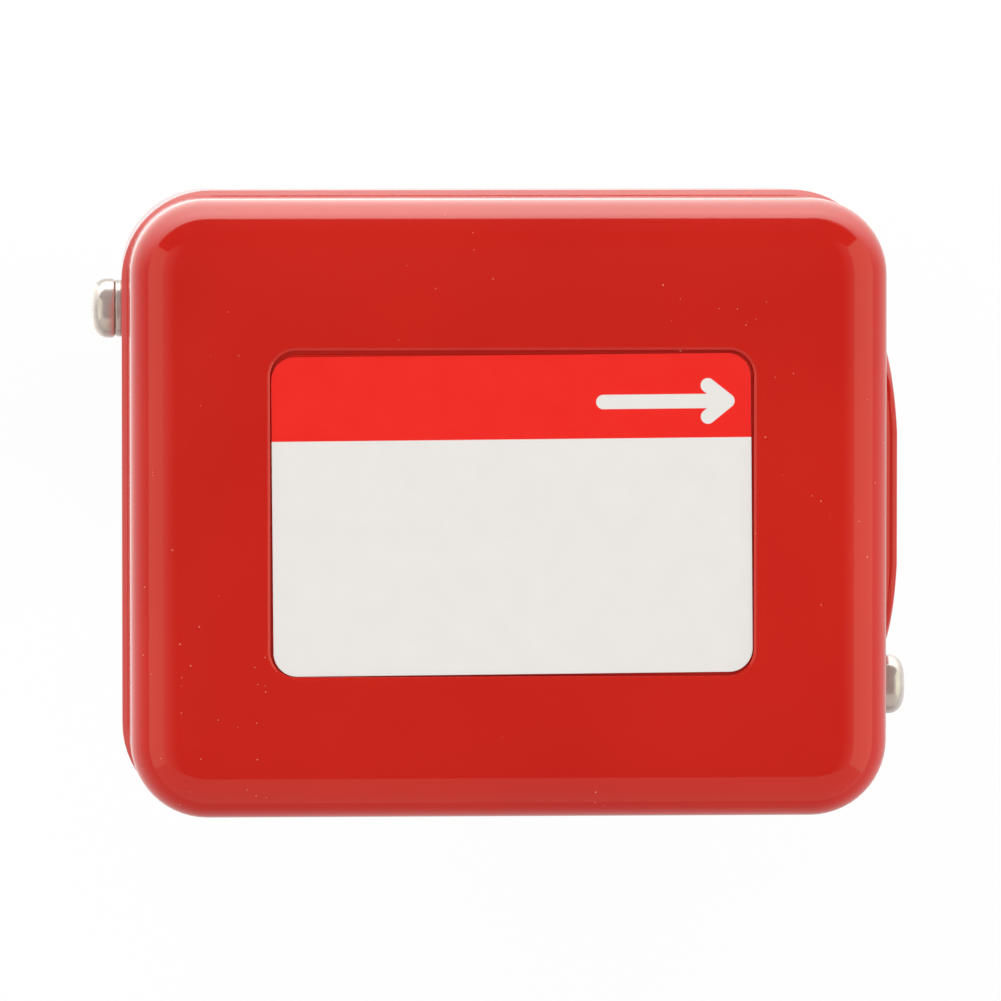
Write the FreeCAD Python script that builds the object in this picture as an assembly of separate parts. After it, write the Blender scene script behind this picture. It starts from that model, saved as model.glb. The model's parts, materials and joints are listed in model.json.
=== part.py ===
"""Paddle flow switch for a one-inch pipe thread, as a bench assembly of separate pieces.

Frame, in millimetres: the origin is on the thread's axis, in the underside of the hexagon where
the pipe fitting stops. +Z points up the lever, through the housing, to the cover. +X is the way
the water flows, and the way the paddles are pushed. +Y is square to both.
"""
import FreeCAD, Part
import math
import os

from FreeCAD import Vector

# ---- brass body -------------------------------------------------------------------------------
thread_radius = 16.62        # one-inch pipe thread, major diameter 33.249
thread_length = 19.0
thread_chamfer = 1.2
hex_across_flats = 41.0
hex_height = 13.0
neck_radius = 17.5
neck_height = 2.0
flange_size = 46.0           # square flange under the housing
flange_corner = 7.0
flange_thickness = 4.0
spigot_radius = 10.0         # locates the body in the housing floor
spigot_height = 4.5          # above the flange
wet_bore_radius = 9.0
top_bore_radius = 6.6
top_bore_length = 11.5
body_gasket_thickness = 1.0

# ---- housing ----------------------------------------------------------------------------------
cover_length = 101.0
cover_width = 82.5
cover_corner = 10.2
cover_height = 24.6
cover_edge_radius = 8.0
cover_wall = 1.4
recess_length = 65.0
recess_width = 43.7
recess_corner = 3.8
recess_depth = 0.6
recess_shift = -0.5          # along Y
label_margin = 0.65          # bare recess round the label
label_thickness = 0.25
ledge = 0.8                  # the base stands proud of the cover by this much
base_height = 40.0
base_corner = 12.1
base_wall = 1.8
base_edge_radius = 5.0
floor_thickness = 2.5
draft_degrees = 1.0
seam_gap = 0.4               # from the base's rim to the cover's edge
gasket_width = 0.7
gasket_setback = 0.45        # from the cover's outer face
gasket_clearance = 0.05

# ---- conduit entry ----------------------------------------------------------------------------
entry_radius = 10.2          # tapped for a 20.4 conduit gland
entry_height = 20.0          # above the underside of the base
entry_pad_width = 46.0
entry_pad_height = 34.0
entry_pad_corner = 14.0
entry_pad_rise = 3.3
entry_crown_radius = 183.0
entry_pad_slope = 2.2        # the pad narrows by this much all round, to its top
entry_land_radius = 12.2
entry_land_rise = 3.05
entry_boss_radius = 14.0
entry_boss_depth = 1.7

# ---- small metric screws ----------------------------------------------------------------------
screw_radius = 2.0           # M4
screw_head_radius = 4.0
screw_head_height = 3.1
screw_head_crown = 0.5       # share of the head's height that slopes in
screw_head_top = 0.75        # top of the head, as a share of its radius
through_clearance = 0.2      # screw in a plain hole
tapped_clearance = 0.03      # screw in its thread
washer_thickness = 1.0
nut_across_flats = 7.0
nut_height = 3.2

# ---- cover fixing -----------------------------------------------------------------------------
cover_screw_drop = 8.0       # below the base's rim
cover_screw_offset = 25.5    # along Y, left screw plus, right screw minus
cover_screw_reach = 10.5     # shank, from under the head
spot_face_radius = 4.7
spot_face_depth = 0.1
lug_width = 11.0
lug_thickness = 1.2
lug_tail = 6.0               # below the screw
lug_joggle = 0.3
lug_slot_clearance = 0.3
slack_gap = 0.1              # from each lug to its slackened nut

# ---- lever and seal ---------------------------------------------------------------------------
rod_radius = 2.5
rod_head_radius = 4.5
rod_bottom = -40.0
ring_thickness = 1.5
bellows_foot = 0.6
bellows_wall = 0.35
bellows_inner_radius = 4.2
bellows_outer_radius = 7.8
bellows_pitch = 1.9
bellows_folds = 5
cap_thickness = 1.5
pivot_above_cap = 3.0
rod_head_above_pivot = 4.0
pin_radius = 1.5
pin_running_clearance = 0.05
clip_radius = 3.2
clip_thickness = 0.6
stud_length = 5.2
lever_thickness = 1.2
lever_hub_radius = 8.0
lever_flange_height = 2.4
switch_arm = 14.0            # from the pivot to the plunger
switch_arm_overhang = 5.0
range_arm = 22.0             # from the pivot to the range screw
range_arm_overhang = 6.0
switch_arm_width = 10.0
range_arm_width = 12.0
push_pad_radius = 1.9
push_pad_height = 2.7
plunger_gap = 0.12

# ---- mechanism bracket ------------------------------------------------------------------------
sheet = 1.6
cheek_inside = 12.5          # from the middle plane to each cheek
foot_size = 48.0
foot_corner = 5.0
foot_notch = 24.0            # length of the fold line between the feet
bracket_hole_clearance = 0.6
body_screw_spacing = 36.0
cheek_base_width = 20.0
cheek_shoulder_height = 7.0
bridge_height = 33.9         # above the foot plate
bridge_width = 12.0
bridge_reach = 7.0           # past the middle plane
stop_clearance = 0.15
stop_width = 4.0
stop_reach = 4.0             # past the middle plane

# ---- range adjustment -------------------------------------------------------------------------
range_nut_length = 11.0
range_nut_height = 3.0
range_nut_clearance = 0.3    # to the cheek that keeps it from turning
range_nut_reach = 6.0
spring_wire = 0.8
spring_mean_radius = 3.9
spring_turns = 4.0
spring_wire_sides = 4
spring_length = 10.4
range_screw_tail = 2.5       # below the nut
range_head_radius = 3.5
range_head_height = 2.8
driver_slot = 1.0
lever_slot_clearance = 0.9

# ---- snap switch ------------------------------------------------------------------------------
case_length = 49.2
case_width = 16.25
case_height = 24.2
case_chamfer = 1.0
side_plate_thickness = 1.2
plunger_from_end = 20.6
switch_hole_spacing = 25.4
switch_hole_height = 14.5
case_above_lever = 5.3
bush_radius = 3.2
bush_height = 1.0
plunger_radius = 1.6
plunger_length = 6.0
plunger_room = 1.5
insulation_thickness = 0.4
insulation_overhang = 1.5
terminal_thickness = 1.2
terminal_width = 9.4
terminal_length = 9.5
terminal_spacing = 19.0
guard_thickness = 0.8
guard_height = 1.6
terminal_screw_reach = 5.0
terminal_head_radius = 3.2
terminal_head_height = 2.4

# ---- paddles ----------------------------------------------------------------------------------
clamp_thickness = 6.5
clamp_width = 20.0
clamp_height = 16.0
clamp_overlap = 8.0          # rod inside the clamp
paddle_thickness = 0.4
paddle_widths = {"paddle_short": 24.0, "paddle_medium": 26.0, "paddle_long": 28.0}
paddle_lengths = {"paddle_short": 33.0, "paddle_medium": 58.0, "paddle_long": 84.0}
paddle_corner = 4.0
paddle_screw_spacing = 12.0
paddle_screw_reach = 6.5
clamp_bar_thickness = 1.2
clamp_bar_height = 8.0

# ---- earth terminal ---------------------------------------------------------------------------
earth_x = -36.0
earth_y = -26.0
earth_boss_radius = 4.5
earth_boss_height = 5.5
cup_washer_radius = 4.4
cup_washer_height = 1.1

# ---- levels and places that follow from the sizes above ---------------------------------------
draft = math.tan(math.radians(draft_degrees))
flange_bottom = hex_height + neck_height
flange_top = flange_bottom + flange_thickness
base_bottom = flange_top + body_gasket_thickness
floor_top = base_bottom + floor_thickness
base_top = base_bottom + base_height
cover_bottom = base_top + seam_gap
cover_top = cover_bottom + cover_height
base_length = cover_length + 2 * ledge
base_width = cover_width + 2 * ledge
spigot_top = flange_top + spigot_height
foot_top = floor_top + sheet
bellows_bottom = spigot_top + bellows_foot
bellows_top = bellows_bottom + bellows_folds * bellows_pitch
cap_top = bellows_top + cap_thickness
pivot_z = cap_top + pivot_above_cap
lever_bottom = pivot_z + rod_head_above_pivot
lever_top = lever_bottom + lever_thickness
plunger_bottom = lever_top + push_pad_height + plunger_gap
case_bottom = lever_top + case_above_lever
case_top = case_bottom + case_height
bridge_top = foot_top + bridge_height
range_nut_top = lever_bottom - spring_length
range_x = -range_arm
insulation_y = -cheek_inside
case_y = insulation_y + insulation_thickness
case_end = switch_arm - plunger_from_end
plunger_y = case_y + (case_width + side_plate_thickness) / 2
switch_hole_x = [case_end + (case_length - switch_hole_spacing) / 2]
switch_hole_x.append(switch_hole_x[0] + switch_hole_spacing)
switch_hole_z = case_bottom + switch_hole_height
cover_screw_z = base_top - cover_screw_drop
entry_z = base_bottom + entry_height
clamp_top = rod_bottom + clamp_overlap


# ---- shape helpers ----------------------------------------------------------------------------
def rounded_wire(length, width, corner, z=0.0, middle=(0.0, 0.0)):
    """A rectangle with round corners, in the plane at height z."""
    x, y = length / 2, width / 2
    near = corner * (1 - math.sqrt(0.5))
    edges = []
    for sx, sy in ((1, -1), (1, 1), (-1, 1), (-1, -1)):
        on_x = Vector(sx * x, sy * (y - corner), z)
        on_y = Vector(sx * (x - corner), sy * y, z)
        via = Vector(sx * (x - near), sy * (y - near), z)
        first, last = (on_y, on_x) if sx * sy < 0 else (on_x, on_y)
        edges.append((first, via, last))
    parts = []
    for number, (first, via, last) in enumerate(edges):
        parts.append(Part.Arc(first, via, last).toShape())
        following = edges[(number + 1) % 4][0]
        parts.append(Part.LineSegment(last, following).toShape())
    wire = Part.Wire(parts)
    wire.translate(Vector(middle[0], middle[1], 0))
    return wire


def rounded_block(length, width, corner, low, high, middle=(0.0, 0.0)):
    """A block with round upright corners, between two heights."""
    face = Part.Face(rounded_wire(length, width, corner, low, middle))
    return face.extrude(Vector(0, 0, high - low))


def tapered_block(length, width, corner, low, high):
    """A block that narrows downwards at the draft angle; its sizes are those at the top."""
    narrowing = (high - low) * draft
    bottom = rounded_wire(length - 2 * narrowing, width - 2 * narrowing, corner - narrowing, low)
    top = rounded_wire(length, width, corner, high)
    return Part.makeLoft([bottom, top], True, True)


def box(x, y, z):
    """A box from three pairs of limits."""
    size = (x[1] - x[0], y[1] - y[0], z[1] - z[0])
    return Part.makeBox(size[0], size[1], size[2], Vector(x[0], y[0], z[0]))


def post(radius, low, high, x=0.0, y=0.0):
    """A round bar along Z."""
    return Part.makeCylinder(radius, high - low, Vector(x, y, low))


def bar_x(radius, start, end, y, z):
    """A round bar along X."""
    return Part.makeCylinder(radius, end - start, Vector(start, y, z), Vector(1, 0, 0))


def bar_y(radius, start, end, x, z):
    """A round bar along Y."""
    return Part.makeCylinder(radius, end - start, Vector(x, start, z), Vector(0, 1, 0))


def turned(profile):
    """A solid of revolution about Z from (radius, height) points."""
    points = [Vector(radius, 0, height) for radius, height in profile]
    face = Part.Face(Part.makePolygon(points + points[:1]))
    return face.revolve(Vector(0, 0, 0), Vector(0, 0, 1), 360)


def hexagon(across_flats, low, high, x=0.0, y=0.0):
    """A six-sided block along Z."""
    reach = across_flats / math.sqrt(3)
    points = []
    for number in range(6):
        angle = math.radians(60 * number)
        points.append(Vector(x + reach * math.cos(angle), y + reach * math.sin(angle), low))
    face = Part.Face(Part.makePolygon(points + points[:1]))
    return face.extrude(Vector(0, 0, high - low))


def edges_where(shape, test):
    """The edges whose middle point passes a test."""
    return [edge for edge in shape.Edges if test(edge.CenterOfMass)]


def pan_screw(reach, head_radius=screw_head_radius, head_height=screw_head_height):
    """A round-headed screw, standing on the plane under its head, with its shank down -Z."""
    shoulder = head_height - head_height * screw_head_crown
    return turned([(0, -reach), (screw_radius, -reach), (screw_radius, 0), (head_radius, 0),
                   (head_radius, shoulder), (head_radius * screw_head_top, head_height),
                   (0, head_height)])


def aimed(shape, direction, place):
    """The shape turned from +Z to a direction, then moved to its place."""
    turn = FreeCAD.Rotation(Vector(0, 0, 1), Vector(*direction))
    moved = shape.copy()
    moved.Placement = FreeCAD.Placement(Vector(*place), turn)
    return moved


def washer(radius, thickness, hole=screw_radius + through_clearance):
    """A flat washer standing on the plane z = 0."""
    return post(radius, 0, thickness).cut(post(hole, 0, thickness))


def group(solids):
    """Separate solids that share one node."""
    return Part.Compound(solids)


# ---- brass body and its gasket ----------------------------------------------------------------
def body_screw_places():
    """The four screws that hold the brass body, the housing and the bracket together."""
    half = body_screw_spacing / 2
    return [(sx * half, sy * half) for sx in (-1, 1) for sy in (-1, 1)]


def brass_body():
    """Pipe thread, hexagon, flange and spigot, bored for the lever."""
    thread = turned([(0, -thread_length), (thread_radius - thread_chamfer, -thread_length),
                     (thread_radius, -thread_length + thread_chamfer), (thread_radius, 0), (0, 0)])
    corner = hex_across_flats / math.sqrt(3)
    bevel = (corner - hex_across_flats / 2) * math.tan(math.radians(30))
    flat = hex_across_flats / 2
    limit = turned([(0, 0), (flat, 0), (corner, bevel), (corner, hex_height - bevel),
                    (flat, hex_height), (0, hex_height)])
    grip = hexagon(hex_across_flats, 0, hex_height).common(limit)
    neck = post(neck_radius, hex_height, flange_bottom)
    flange = rounded_block(flange_size, flange_size, flange_corner, flange_bottom, flange_top)
    spigot = post(spigot_radius, flange_top, spigot_top)
    body = thread.fuse([grip, neck, flange, spigot])
    step = spigot_top - top_bore_length
    body = body.cut(post(wet_bore_radius, -thread_length, step))
    body = body.cut(post(top_bore_radius, step, spigot_top))
    for x, y in body_screw_places():
        body = body.cut(post(screw_radius + tapped_clearance, flange_bottom, flange_top, x, y))
    return body.removeSplitter()


def body_gasket():
    """Flat seal between the flange and the housing floor."""
    seal = rounded_block(flange_size, flange_size, flange_corner, flange_top, base_bottom)
    seal = seal.cut(post(spigot_radius + through_clearance, flange_top, base_bottom))
    for x, y in body_screw_places():
        seal = seal.cut(post(screw_radius + through_clearance, flange_top, base_bottom, x, y))
    return seal


def body_screws():
    """Four screws, down through the bracket's feet, the floor and the gasket."""
    reach = foot_top - flange_bottom
    return group([aimed(pan_screw(reach), (0, 0, 1), (x, y, foot_top))
                  for x, y in body_screw_places()])


# ---- base housing -----------------------------------------------------------------------------
def base_half_length(z):
    """Half the base's outer length at a height, on its sloping end wall."""
    return base_length / 2 - (base_top - z) * draft


def base_shell():
    """The open tray: tapered walls, round bottom edge."""
    outer = tapered_block(base_length, base_width, base_corner, base_bottom, base_top)
    low = edges_where(outer, lambda point: point.z < base_bottom + 0.01)
    outer = outer.makeFillet(base_edge_radius, low)
    inner = tapered_block(base_length - 2 * base_wall, base_width - 2 * base_wall,
                          base_corner - base_wall, floor_top, base_top)
    return outer, inner


def entry_pad():
    """Crowned pad on the downstream end, which carries the conduit entry."""
    wall = base_half_length(entry_z)
    foot = rounded_wire(entry_pad_height, entry_pad_width, entry_pad_corner)
    top = rounded_wire(entry_pad_height - 2 * entry_pad_slope,
                       entry_pad_width - 2 * entry_pad_slope,
                       entry_pad_corner - entry_pad_slope, entry_pad_rise + base_wall)
    pad = Part.makeLoft([foot, top], True, True)
    pad.rotate(Vector(0, 0, 0), Vector(0, 1, 0), 90)
    pad.translate(Vector(wall - base_wall, 0, entry_z))
    crown_axis = wall + entry_pad_rise - entry_crown_radius
    crown = post(entry_crown_radius, base_bottom, base_top, crown_axis)
    pad = pad.common(crown)
    return pad.fuse(bar_x(entry_land_radius, wall, wall + entry_land_rise, 0, entry_z))


def base_housing():
    """Lower housing with its conduit entry, screw holes and earth boss."""
    outer, inner = base_shell()
    wall = base_half_length(entry_z)
    shell = outer.fuse(entry_pad()).cut(inner)
    inside = wall - base_wall - entry_boss_depth
    boss = bar_x(entry_boss_radius, inside, wall, 0, entry_z)
    shell = shell.fuse(boss)
    shell = shell.cut(bar_x(entry_radius, inside - 1, wall + entry_pad_rise + 1, 0, entry_z))
    shell = shell.cut(post(spigot_radius + through_clearance, base_bottom, floor_top))
    for x, y in body_screw_places():
        shell = shell.cut(post(screw_radius + through_clearance, base_bottom, floor_top, x, y))
    for side in (-1, 1):
        y = -side * cover_screw_offset
        face = cover_screw_seat()
        start = min(side * (face - 2 * base_wall), side * (face + 1))
        shell = shell.cut(bar_x(screw_radius + through_clearance, start, start + 2 * base_wall + 1,
                                y, cover_screw_z))
        start = face if side > 0 else -face - 1
        shell = shell.cut(bar_x(spot_face_radius, start, start + 1, y, cover_screw_z))
    earth = post(earth_boss_radius, floor_top - 1, floor_top + earth_boss_height, earth_x, earth_y)
    shell = shell.fuse(earth)
    shell = shell.cut(post(screw_radius + tapped_clearance, floor_top,
                           floor_top + earth_boss_height, earth_x, earth_y))
    return shell.removeSplitter()


# ---- cover and its fixing ---------------------------------------------------------------------
def cover():
    """Pressed cover with a large round edge and a shallow recess for the label."""
    outer = rounded_block(cover_length, cover_width, cover_corner, cover_bottom, cover_top)
    rim = edges_where(outer, lambda point: point.z > cover_top - 0.01)
    outer = outer.makeFillet(cover_edge_radius, rim)
    inner = rounded_block(cover_length - 2 * cover_wall, cover_width - 2 * cover_wall,
                          cover_corner - cover_wall, cover_bottom, cover_top - cover_wall)
    rim = edges_where(inner, lambda point: point.z > cover_top - cover_wall - 0.01)
    inner = inner.makeFillet(cover_edge_radius - cover_wall, rim)
    middle = (0, recess_shift)
    step = rounded_block(recess_length + 2 * cover_wall, recess_width + 2 * cover_wall,
                         recess_corner + cover_wall, cover_top - cover_wall - recess_depth,
                         cover_top, middle)
    recess = rounded_block(recess_length, recess_width, recess_corner,
                           cover_top - recess_depth, cover_top + 1, middle)
    return outer.cut(inner.cut(step)).cut(recess).removeSplitter()


def label_plate():
    """Thin label lying in the recess."""
    low = cover_top - recess_depth
    return rounded_block(recess_length - 2 * label_margin, recess_width - 2 * label_margin,
                         recess_corner - label_margin, low, low + label_thickness,
                         (0, recess_shift))


def cover_gasket():
    """Thin seal in the seam, set back from the cover's outer face."""
    length = cover_length - 2 * gasket_setback
    width = cover_width - 2 * gasket_setback
    corner = cover_corner - gasket_setback
    top = cover_bottom - gasket_clearance
    seal = rounded_block(length, width, corner, base_top, top)
    return seal.cut(rounded_block(length - 2 * gasket_width, width - 2 * gasket_width,
                                  corner - gasket_width, base_top, top))


def cover_screw_seat():
    """Distance from the middle to the spot face under each cover screw's washer."""
    return base_half_length(cover_screw_z) - spot_face_depth


def lug_outside():
    """Distance from the middle to the outer face of a lug's lower part."""
    return cover_length / 2 - cover_wall - lug_joggle


def cover_lugs():
    """Two joggled lugs, welded in the cover, whose open slots straddle the side screws."""
    lugs = []
    upper = cover_length / 2 - cover_wall
    lower = lug_outside()
    bend = cover_bottom + 1
    for side in (-1, 1):
        y = -side * cover_screw_offset
        limits = (y - lug_width / 2, y + lug_width / 2)
        tab = box((upper - lug_thickness, upper), limits, (bend, bend + 11))
        tail = box((lower - lug_thickness, lower), limits, (cover_screw_z - lug_tail, bend + 1.5))
        lug = tab.fuse(tail)
        slot = screw_radius + lug_slot_clearance
        lug = lug.cut(bar_x(slot, lower - 2, lower + 1, y, cover_screw_z))
        lug = lug.cut(box((lower - 2, lower + 1), (y - slot, y + slot),
                          (cover_screw_z - lug_tail - 1, cover_screw_z)))
        if side < 0:
            lug = lug.mirror(Vector(0, 0, 0), Vector(1, 0, 0))
        lugs.append(lug.removeSplitter())
    return group(lugs)


def cover_screws():
    """Two round-headed screws through the end walls."""
    seat = cover_screw_seat() + washer_thickness
    return group([aimed(pan_screw(cover_screw_reach), (side, 0, 0),
                        (side * seat, -side * cover_screw_offset, cover_screw_z))
                  for side in (-1, 1)])


def cover_screw_washers():
    """Washers of the same diameter as the screw heads."""
    seat = cover_screw_seat()
    ring = washer(screw_head_radius, washer_thickness)
    return group([aimed(ring, (side, 0, 0),
                        (side * seat, -side * cover_screw_offset, cover_screw_z))
                  for side in (-1, 1)])


def cover_screw_nuts():
    """Nuts for the cover screws, inside the lugs, slackened."""
    nuts = []
    inside = lug_outside() - lug_thickness - slack_gap
    nut = hexagon(nut_across_flats, 0, nut_height)
    nut = nut.cut(post(screw_radius + tapped_clearance, 0, nut_height))
    for side in (-1, 1):
        place = (side * inside, -side * cover_screw_offset, cover_screw_z)
        nuts.append(aimed(nut, (-side, 0, 0), place))
    return group(nuts)


# ---- seal and lever ---------------------------------------------------------------------------
def bellows():
    """Folded metal seal round the lever, soldered at its foot."""
    foot_radius = spigot_radius - 0.2
    valley = bellows_inner_radius + bellows_wall
    crest = bellows_outer_radius
    outside = [(foot_radius, spigot_top), (foot_radius, bellows_bottom), (valley, bellows_bottom)]
    inside = [(bellows_inner_radius, spigot_top)]
    for fold in range(bellows_folds):
        rise = bellows_bottom + fold * bellows_pitch + bellows_pitch / 4
        fall = rise + bellows_pitch / 2
        outside += [(valley, rise), (crest, rise), (crest, fall), (valley, fall)]
        inside += [(bellows_inner_radius, rise + bellows_wall),
                   (crest - bellows_wall, rise + bellows_wall),
                   (crest - bellows_wall, fall - bellows_wall),
                   (bellows_inner_radius, fall - bellows_wall)]
    outside += [(valley, bellows_top)]
    inside += [(bellows_inner_radius, bellows_top)]
    return turned(outside + inside[::-1])


def bellows_ring():
    """Ring that holds the bellows' foot down on the spigot."""
    ring = post(spigot_radius, bellows_bottom, bellows_bottom + ring_thickness)
    return ring.cut(post(spigot_radius - 1.5, bellows_bottom, bellows_bottom + ring_thickness))


def bellows_cap():
    """Cap that closes the bellows against the lever rod."""
    cap = post(bellows_outer_radius, bellows_top, cap_top)
    return cap.cut(post(rod_radius + tapped_clearance, bellows_top, cap_top))


def lever_rod():
    """Rod with a cross-drilled head and a threaded stud on top."""
    stud_top = lever_bottom + stud_length
    rod = turned([(0, rod_bottom), (rod_radius, rod_bottom), (rod_radius, cap_top),
                  (rod_head_radius, cap_top), (rod_head_radius, lever_bottom),
                  (screw_radius, lever_bottom), (screw_radius, stud_top - 0.5),
                  (screw_radius - 0.5, stud_top), (0, stud_top)])
    hole = pin_radius + pin_running_clearance
    return rod.cut(bar_y(hole, -rod_head_radius - 1, rod_head_radius + 1, 0, pivot_z))


def pivot_pin():
    """Pin from cheek to cheek, on which the rod's head rocks."""
    reach = cheek_inside + sheet + clip_thickness + 1.0
    pin = bar_y(pin_radius, -reach, reach, 0, pivot_z)
    return pin.makeChamfer(0.3, edges_where(pin, lambda point: abs(point.y) > reach - 0.01))


def pivot_clips():
    """Spring clips at both ends of the pin."""
    clips = []
    for side in (-1, 1):
        start = side * (cheek_inside + sheet + clip_thickness / 2) - clip_thickness / 2
        clip = bar_y(clip_radius, start, start + clip_thickness, 0, pivot_z)
        clip = clip.cut(bar_y(pin_radius + tapped_clearance, start, start + clip_thickness,
                              0, pivot_z))
        mouth = pin_radius * 0.8
        clip = clip.cut(box((-mouth, mouth), (start, start + clip_thickness),
                            (pivot_z - clip_radius, pivot_z)))
        clips.append(clip)
    return group(clips)


def main_lever():
    """Rocking plate: switch arm downstream, range arm upstream, both with folded edges."""
    hub = post(lever_hub_radius, lever_bottom, lever_top)
    ahead = switch_arm + switch_arm_overhang
    behind = range_arm + range_arm_overhang
    plate = hub.fuse(rounded_block(ahead * 2, switch_arm_width, 3, lever_bottom, lever_top))
    plate = plate.cut(box((-ahead - 1, 0), (-20, 20), (lever_bottom, lever_top)))
    back = rounded_block(behind * 2, range_arm_width, 3, lever_bottom, lever_top)
    back = back.cut(box((0, behind + 1), (-20, 20), (lever_bottom, lever_top)))
    half_hub = hub.cut(box((0, 20), (-20, 20), (lever_bottom, lever_top)))
    plate = plate.fuse([back, half_hub])
    for width, start, end in ((switch_arm_width, lever_hub_radius, ahead - 3),
                              (range_arm_width, stop_face() + 0.6, -lever_hub_radius)):
        for side in (-1, 1):
            outer = side * width / 2
            limits = sorted((outer, outer - side * lever_thickness))
            plate = plate.fuse(box((start, end), limits, (lever_top, lever_top
                                                          + lever_flange_height)))
    pad = post(push_pad_radius, lever_top, lever_top + push_pad_height, switch_arm, plunger_y)
    plate = plate.fuse(pad)
    plate = plate.cut(post(screw_radius + tapped_clearance, lever_bottom, lever_top))
    opening = rounded_block(2 * (screw_radius + lever_slot_clearance) + 1.2,
                            2 * (screw_radius + lever_slot_clearance),
                            screw_radius + lever_slot_clearance - 0.01,
                            lever_bottom, lever_top, (range_x, 0))
    return plate.cut(opening).removeSplitter()


def stop_face():
    """The downstream edge of the stop tab, beside the range screw."""
    return range_x - range_head_radius


def lever_nut():
    """Nut that clamps the lever on the rod's head."""
    nut = hexagon(nut_across_flats, lever_top, lever_top + nut_height)
    return nut.cut(post(screw_radius + tapped_clearance, lever_top, lever_top + nut_height))


# ---- bracket ----------------------------------------------------------------------------------
def side_plate(points, side):
    """A cheek from an outline of (x, z) points."""
    y = cheek_inside if side > 0 else -cheek_inside - sheet
    corners = [Vector(x, y, z) for x, z in points]
    face = Part.Face(Part.makePolygon(corners + corners[:1]))
    return face.extrude(Vector(0, sheet, 0))


def softened(plate, radius):
    """A sheet outline with its free corners rounded, all edges that run along Y."""
    across = [edge for edge in plate.Edges
              if abs(edge.tangentAt(edge.FirstParameter).y) > 0.99
              and edge.CenterOfMass.z > foot_top + 1]
    return plate.makeFillet(radius, across)


def tall_cheek():
    """The cheek that carries the snap switch, the bridge and the stop."""
    half = cheek_base_width / 2
    shoulder = foot_top + cheek_shoulder_height
    back = range_x - bridge_width / 2 - 2
    bridge_end = range_x + bridge_width / 2
    valley = (bridge_end + case_end) / 2
    valley_flat = (case_end - bridge_end) / 5
    high = switch_hole_z + 5
    front = switch_hole_x[1] + 6
    outline = [(-half, floor_top), (half, floor_top), (half, shoulder), (half + 6, shoulder + 6),
               (half + 8, case_bottom), (front, case_bottom + 4), (front, high),
               (case_end, high), (valley + valley_flat, bridge_top - 8),
               (valley - valley_flat, bridge_top - 8),
               (bridge_end, bridge_top), (bridge_end - bridge_width, bridge_top),
               (back, bridge_top - 8), (back, shoulder + 4), (-half, shoulder)]
    cheek = softened(side_plate(outline, -1), 1.0)
    for x in switch_hole_x:
        cheek = cheek.cut(bar_y(screw_radius + tapped_clearance, -cheek_inside - sheet,
                                -cheek_inside, x, switch_hole_z))
    return cheek


def low_cheek():
    """The cheek that only carries the pin."""
    half = cheek_base_width / 2
    top = pivot_z + 5
    outline = [(-half, floor_top), (half, floor_top), (half, foot_top + 3), (5, top), (-5, top),
               (-half, foot_top + 3)]
    return softened(side_plate(outline, 1), 2.0)


def mechanism_bracket():
    """Folded plate: four feet, two cheeks, a bridge for the range screw and a stop tab."""
    feet = rounded_block(foot_size, foot_size, foot_corner, floor_top, foot_top)
    edge = cheek_inside + sheet
    for side in (-1, 1):
        limits = sorted((side * edge, side * foot_size))
        feet = feet.cut(box((-foot_notch / 2, foot_notch / 2), limits, (floor_top, foot_top)))
    feet = feet.cut(post(spigot_radius + bracket_hole_clearance, floor_top, foot_top))
    for x, y in body_screw_places():
        feet = feet.cut(post(screw_radius + through_clearance, floor_top, foot_top, x, y))
    across = (range_x - bridge_width / 2 + 1.5, range_x + bridge_width / 2 - 1.5)
    bridge = box(across, (-edge, bridge_reach), (bridge_top - sheet, bridge_top))
    stop_low = lever_top + stop_clearance
    stop = box((stop_face() - stop_width, stop_face()), (-edge, stop_reach),
               (stop_low, stop_low + sheet))
    bracket = feet.fuse([tall_cheek(), low_cheek(), bridge, stop])
    bracket = bracket.cut(post(screw_radius + pin_running_clearance, bridge_top - sheet, bridge_top,
                               range_x))
    hole = pin_radius + tapped_clearance
    bracket = bracket.cut(bar_y(hole, -edge, edge, 0, pivot_z))
    return bracket.removeSplitter()


# ---- range adjustment -------------------------------------------------------------------------
def range_screw():
    """Slotted screw that hangs from the bridge and carries the spring's nut."""
    head_low = bridge_top + pin_running_clearance
    head = post(range_head_radius, head_low, head_low + range_head_height, range_x)
    head = head.cut(box((range_x - 5, range_x + 5), (-driver_slot / 2, driver_slot / 2),
                        (head_low + range_head_height - 1.3, head_low + range_head_height)))
    low = range_nut_top - range_nut_height - range_screw_tail
    return head.fuse(post(screw_radius, low, head_low, range_x)).removeSplitter()


def range_nut():
    """Square nut and spring seat, kept from turning by the tall cheek."""
    low = range_nut_top - range_nut_height
    across = (range_x - range_nut_length / 2, range_x + range_nut_length / 2)
    nut = box(across, (range_nut_clearance - cheek_inside, range_nut_reach), (low, range_nut_top))
    nut = nut.makeFillet(1.0, edges_where(nut, lambda point: abs(point.z - low - range_nut_height
                                                                  / 2) < 0.01))
    hub = spring_mean_radius - spring_wire / 2 - 0.3
    nut = nut.fuse(post(hub, range_nut_top, range_nut_top + 1, range_x))
    return nut.cut(post(screw_radius + pin_running_clearance, low, range_nut_top + 1, range_x))


def range_spring():
    """Compression spring between the nut and the lever's upstream arm."""
    wire = spring_wire / 2
    height = spring_length - spring_wire - 0.1
    turns = Part.makeHelix(height / spring_turns, height, spring_mean_radius)
    corners = []
    for number in range(spring_wire_sides):
        angle = math.radians(360 / spring_wire_sides * number)
        corners.append(Vector(spring_mean_radius + wire * math.cos(angle), 0,
                              wire * math.sin(angle)))
    section = Part.makePolygon(corners + corners[:1])
    spring = Part.Wire(turns.Edges).makePipeShell([section], True, True)
    spring.translate(Vector(range_x, 0, range_nut_top + wire + 0.05))
    return spring


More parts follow.
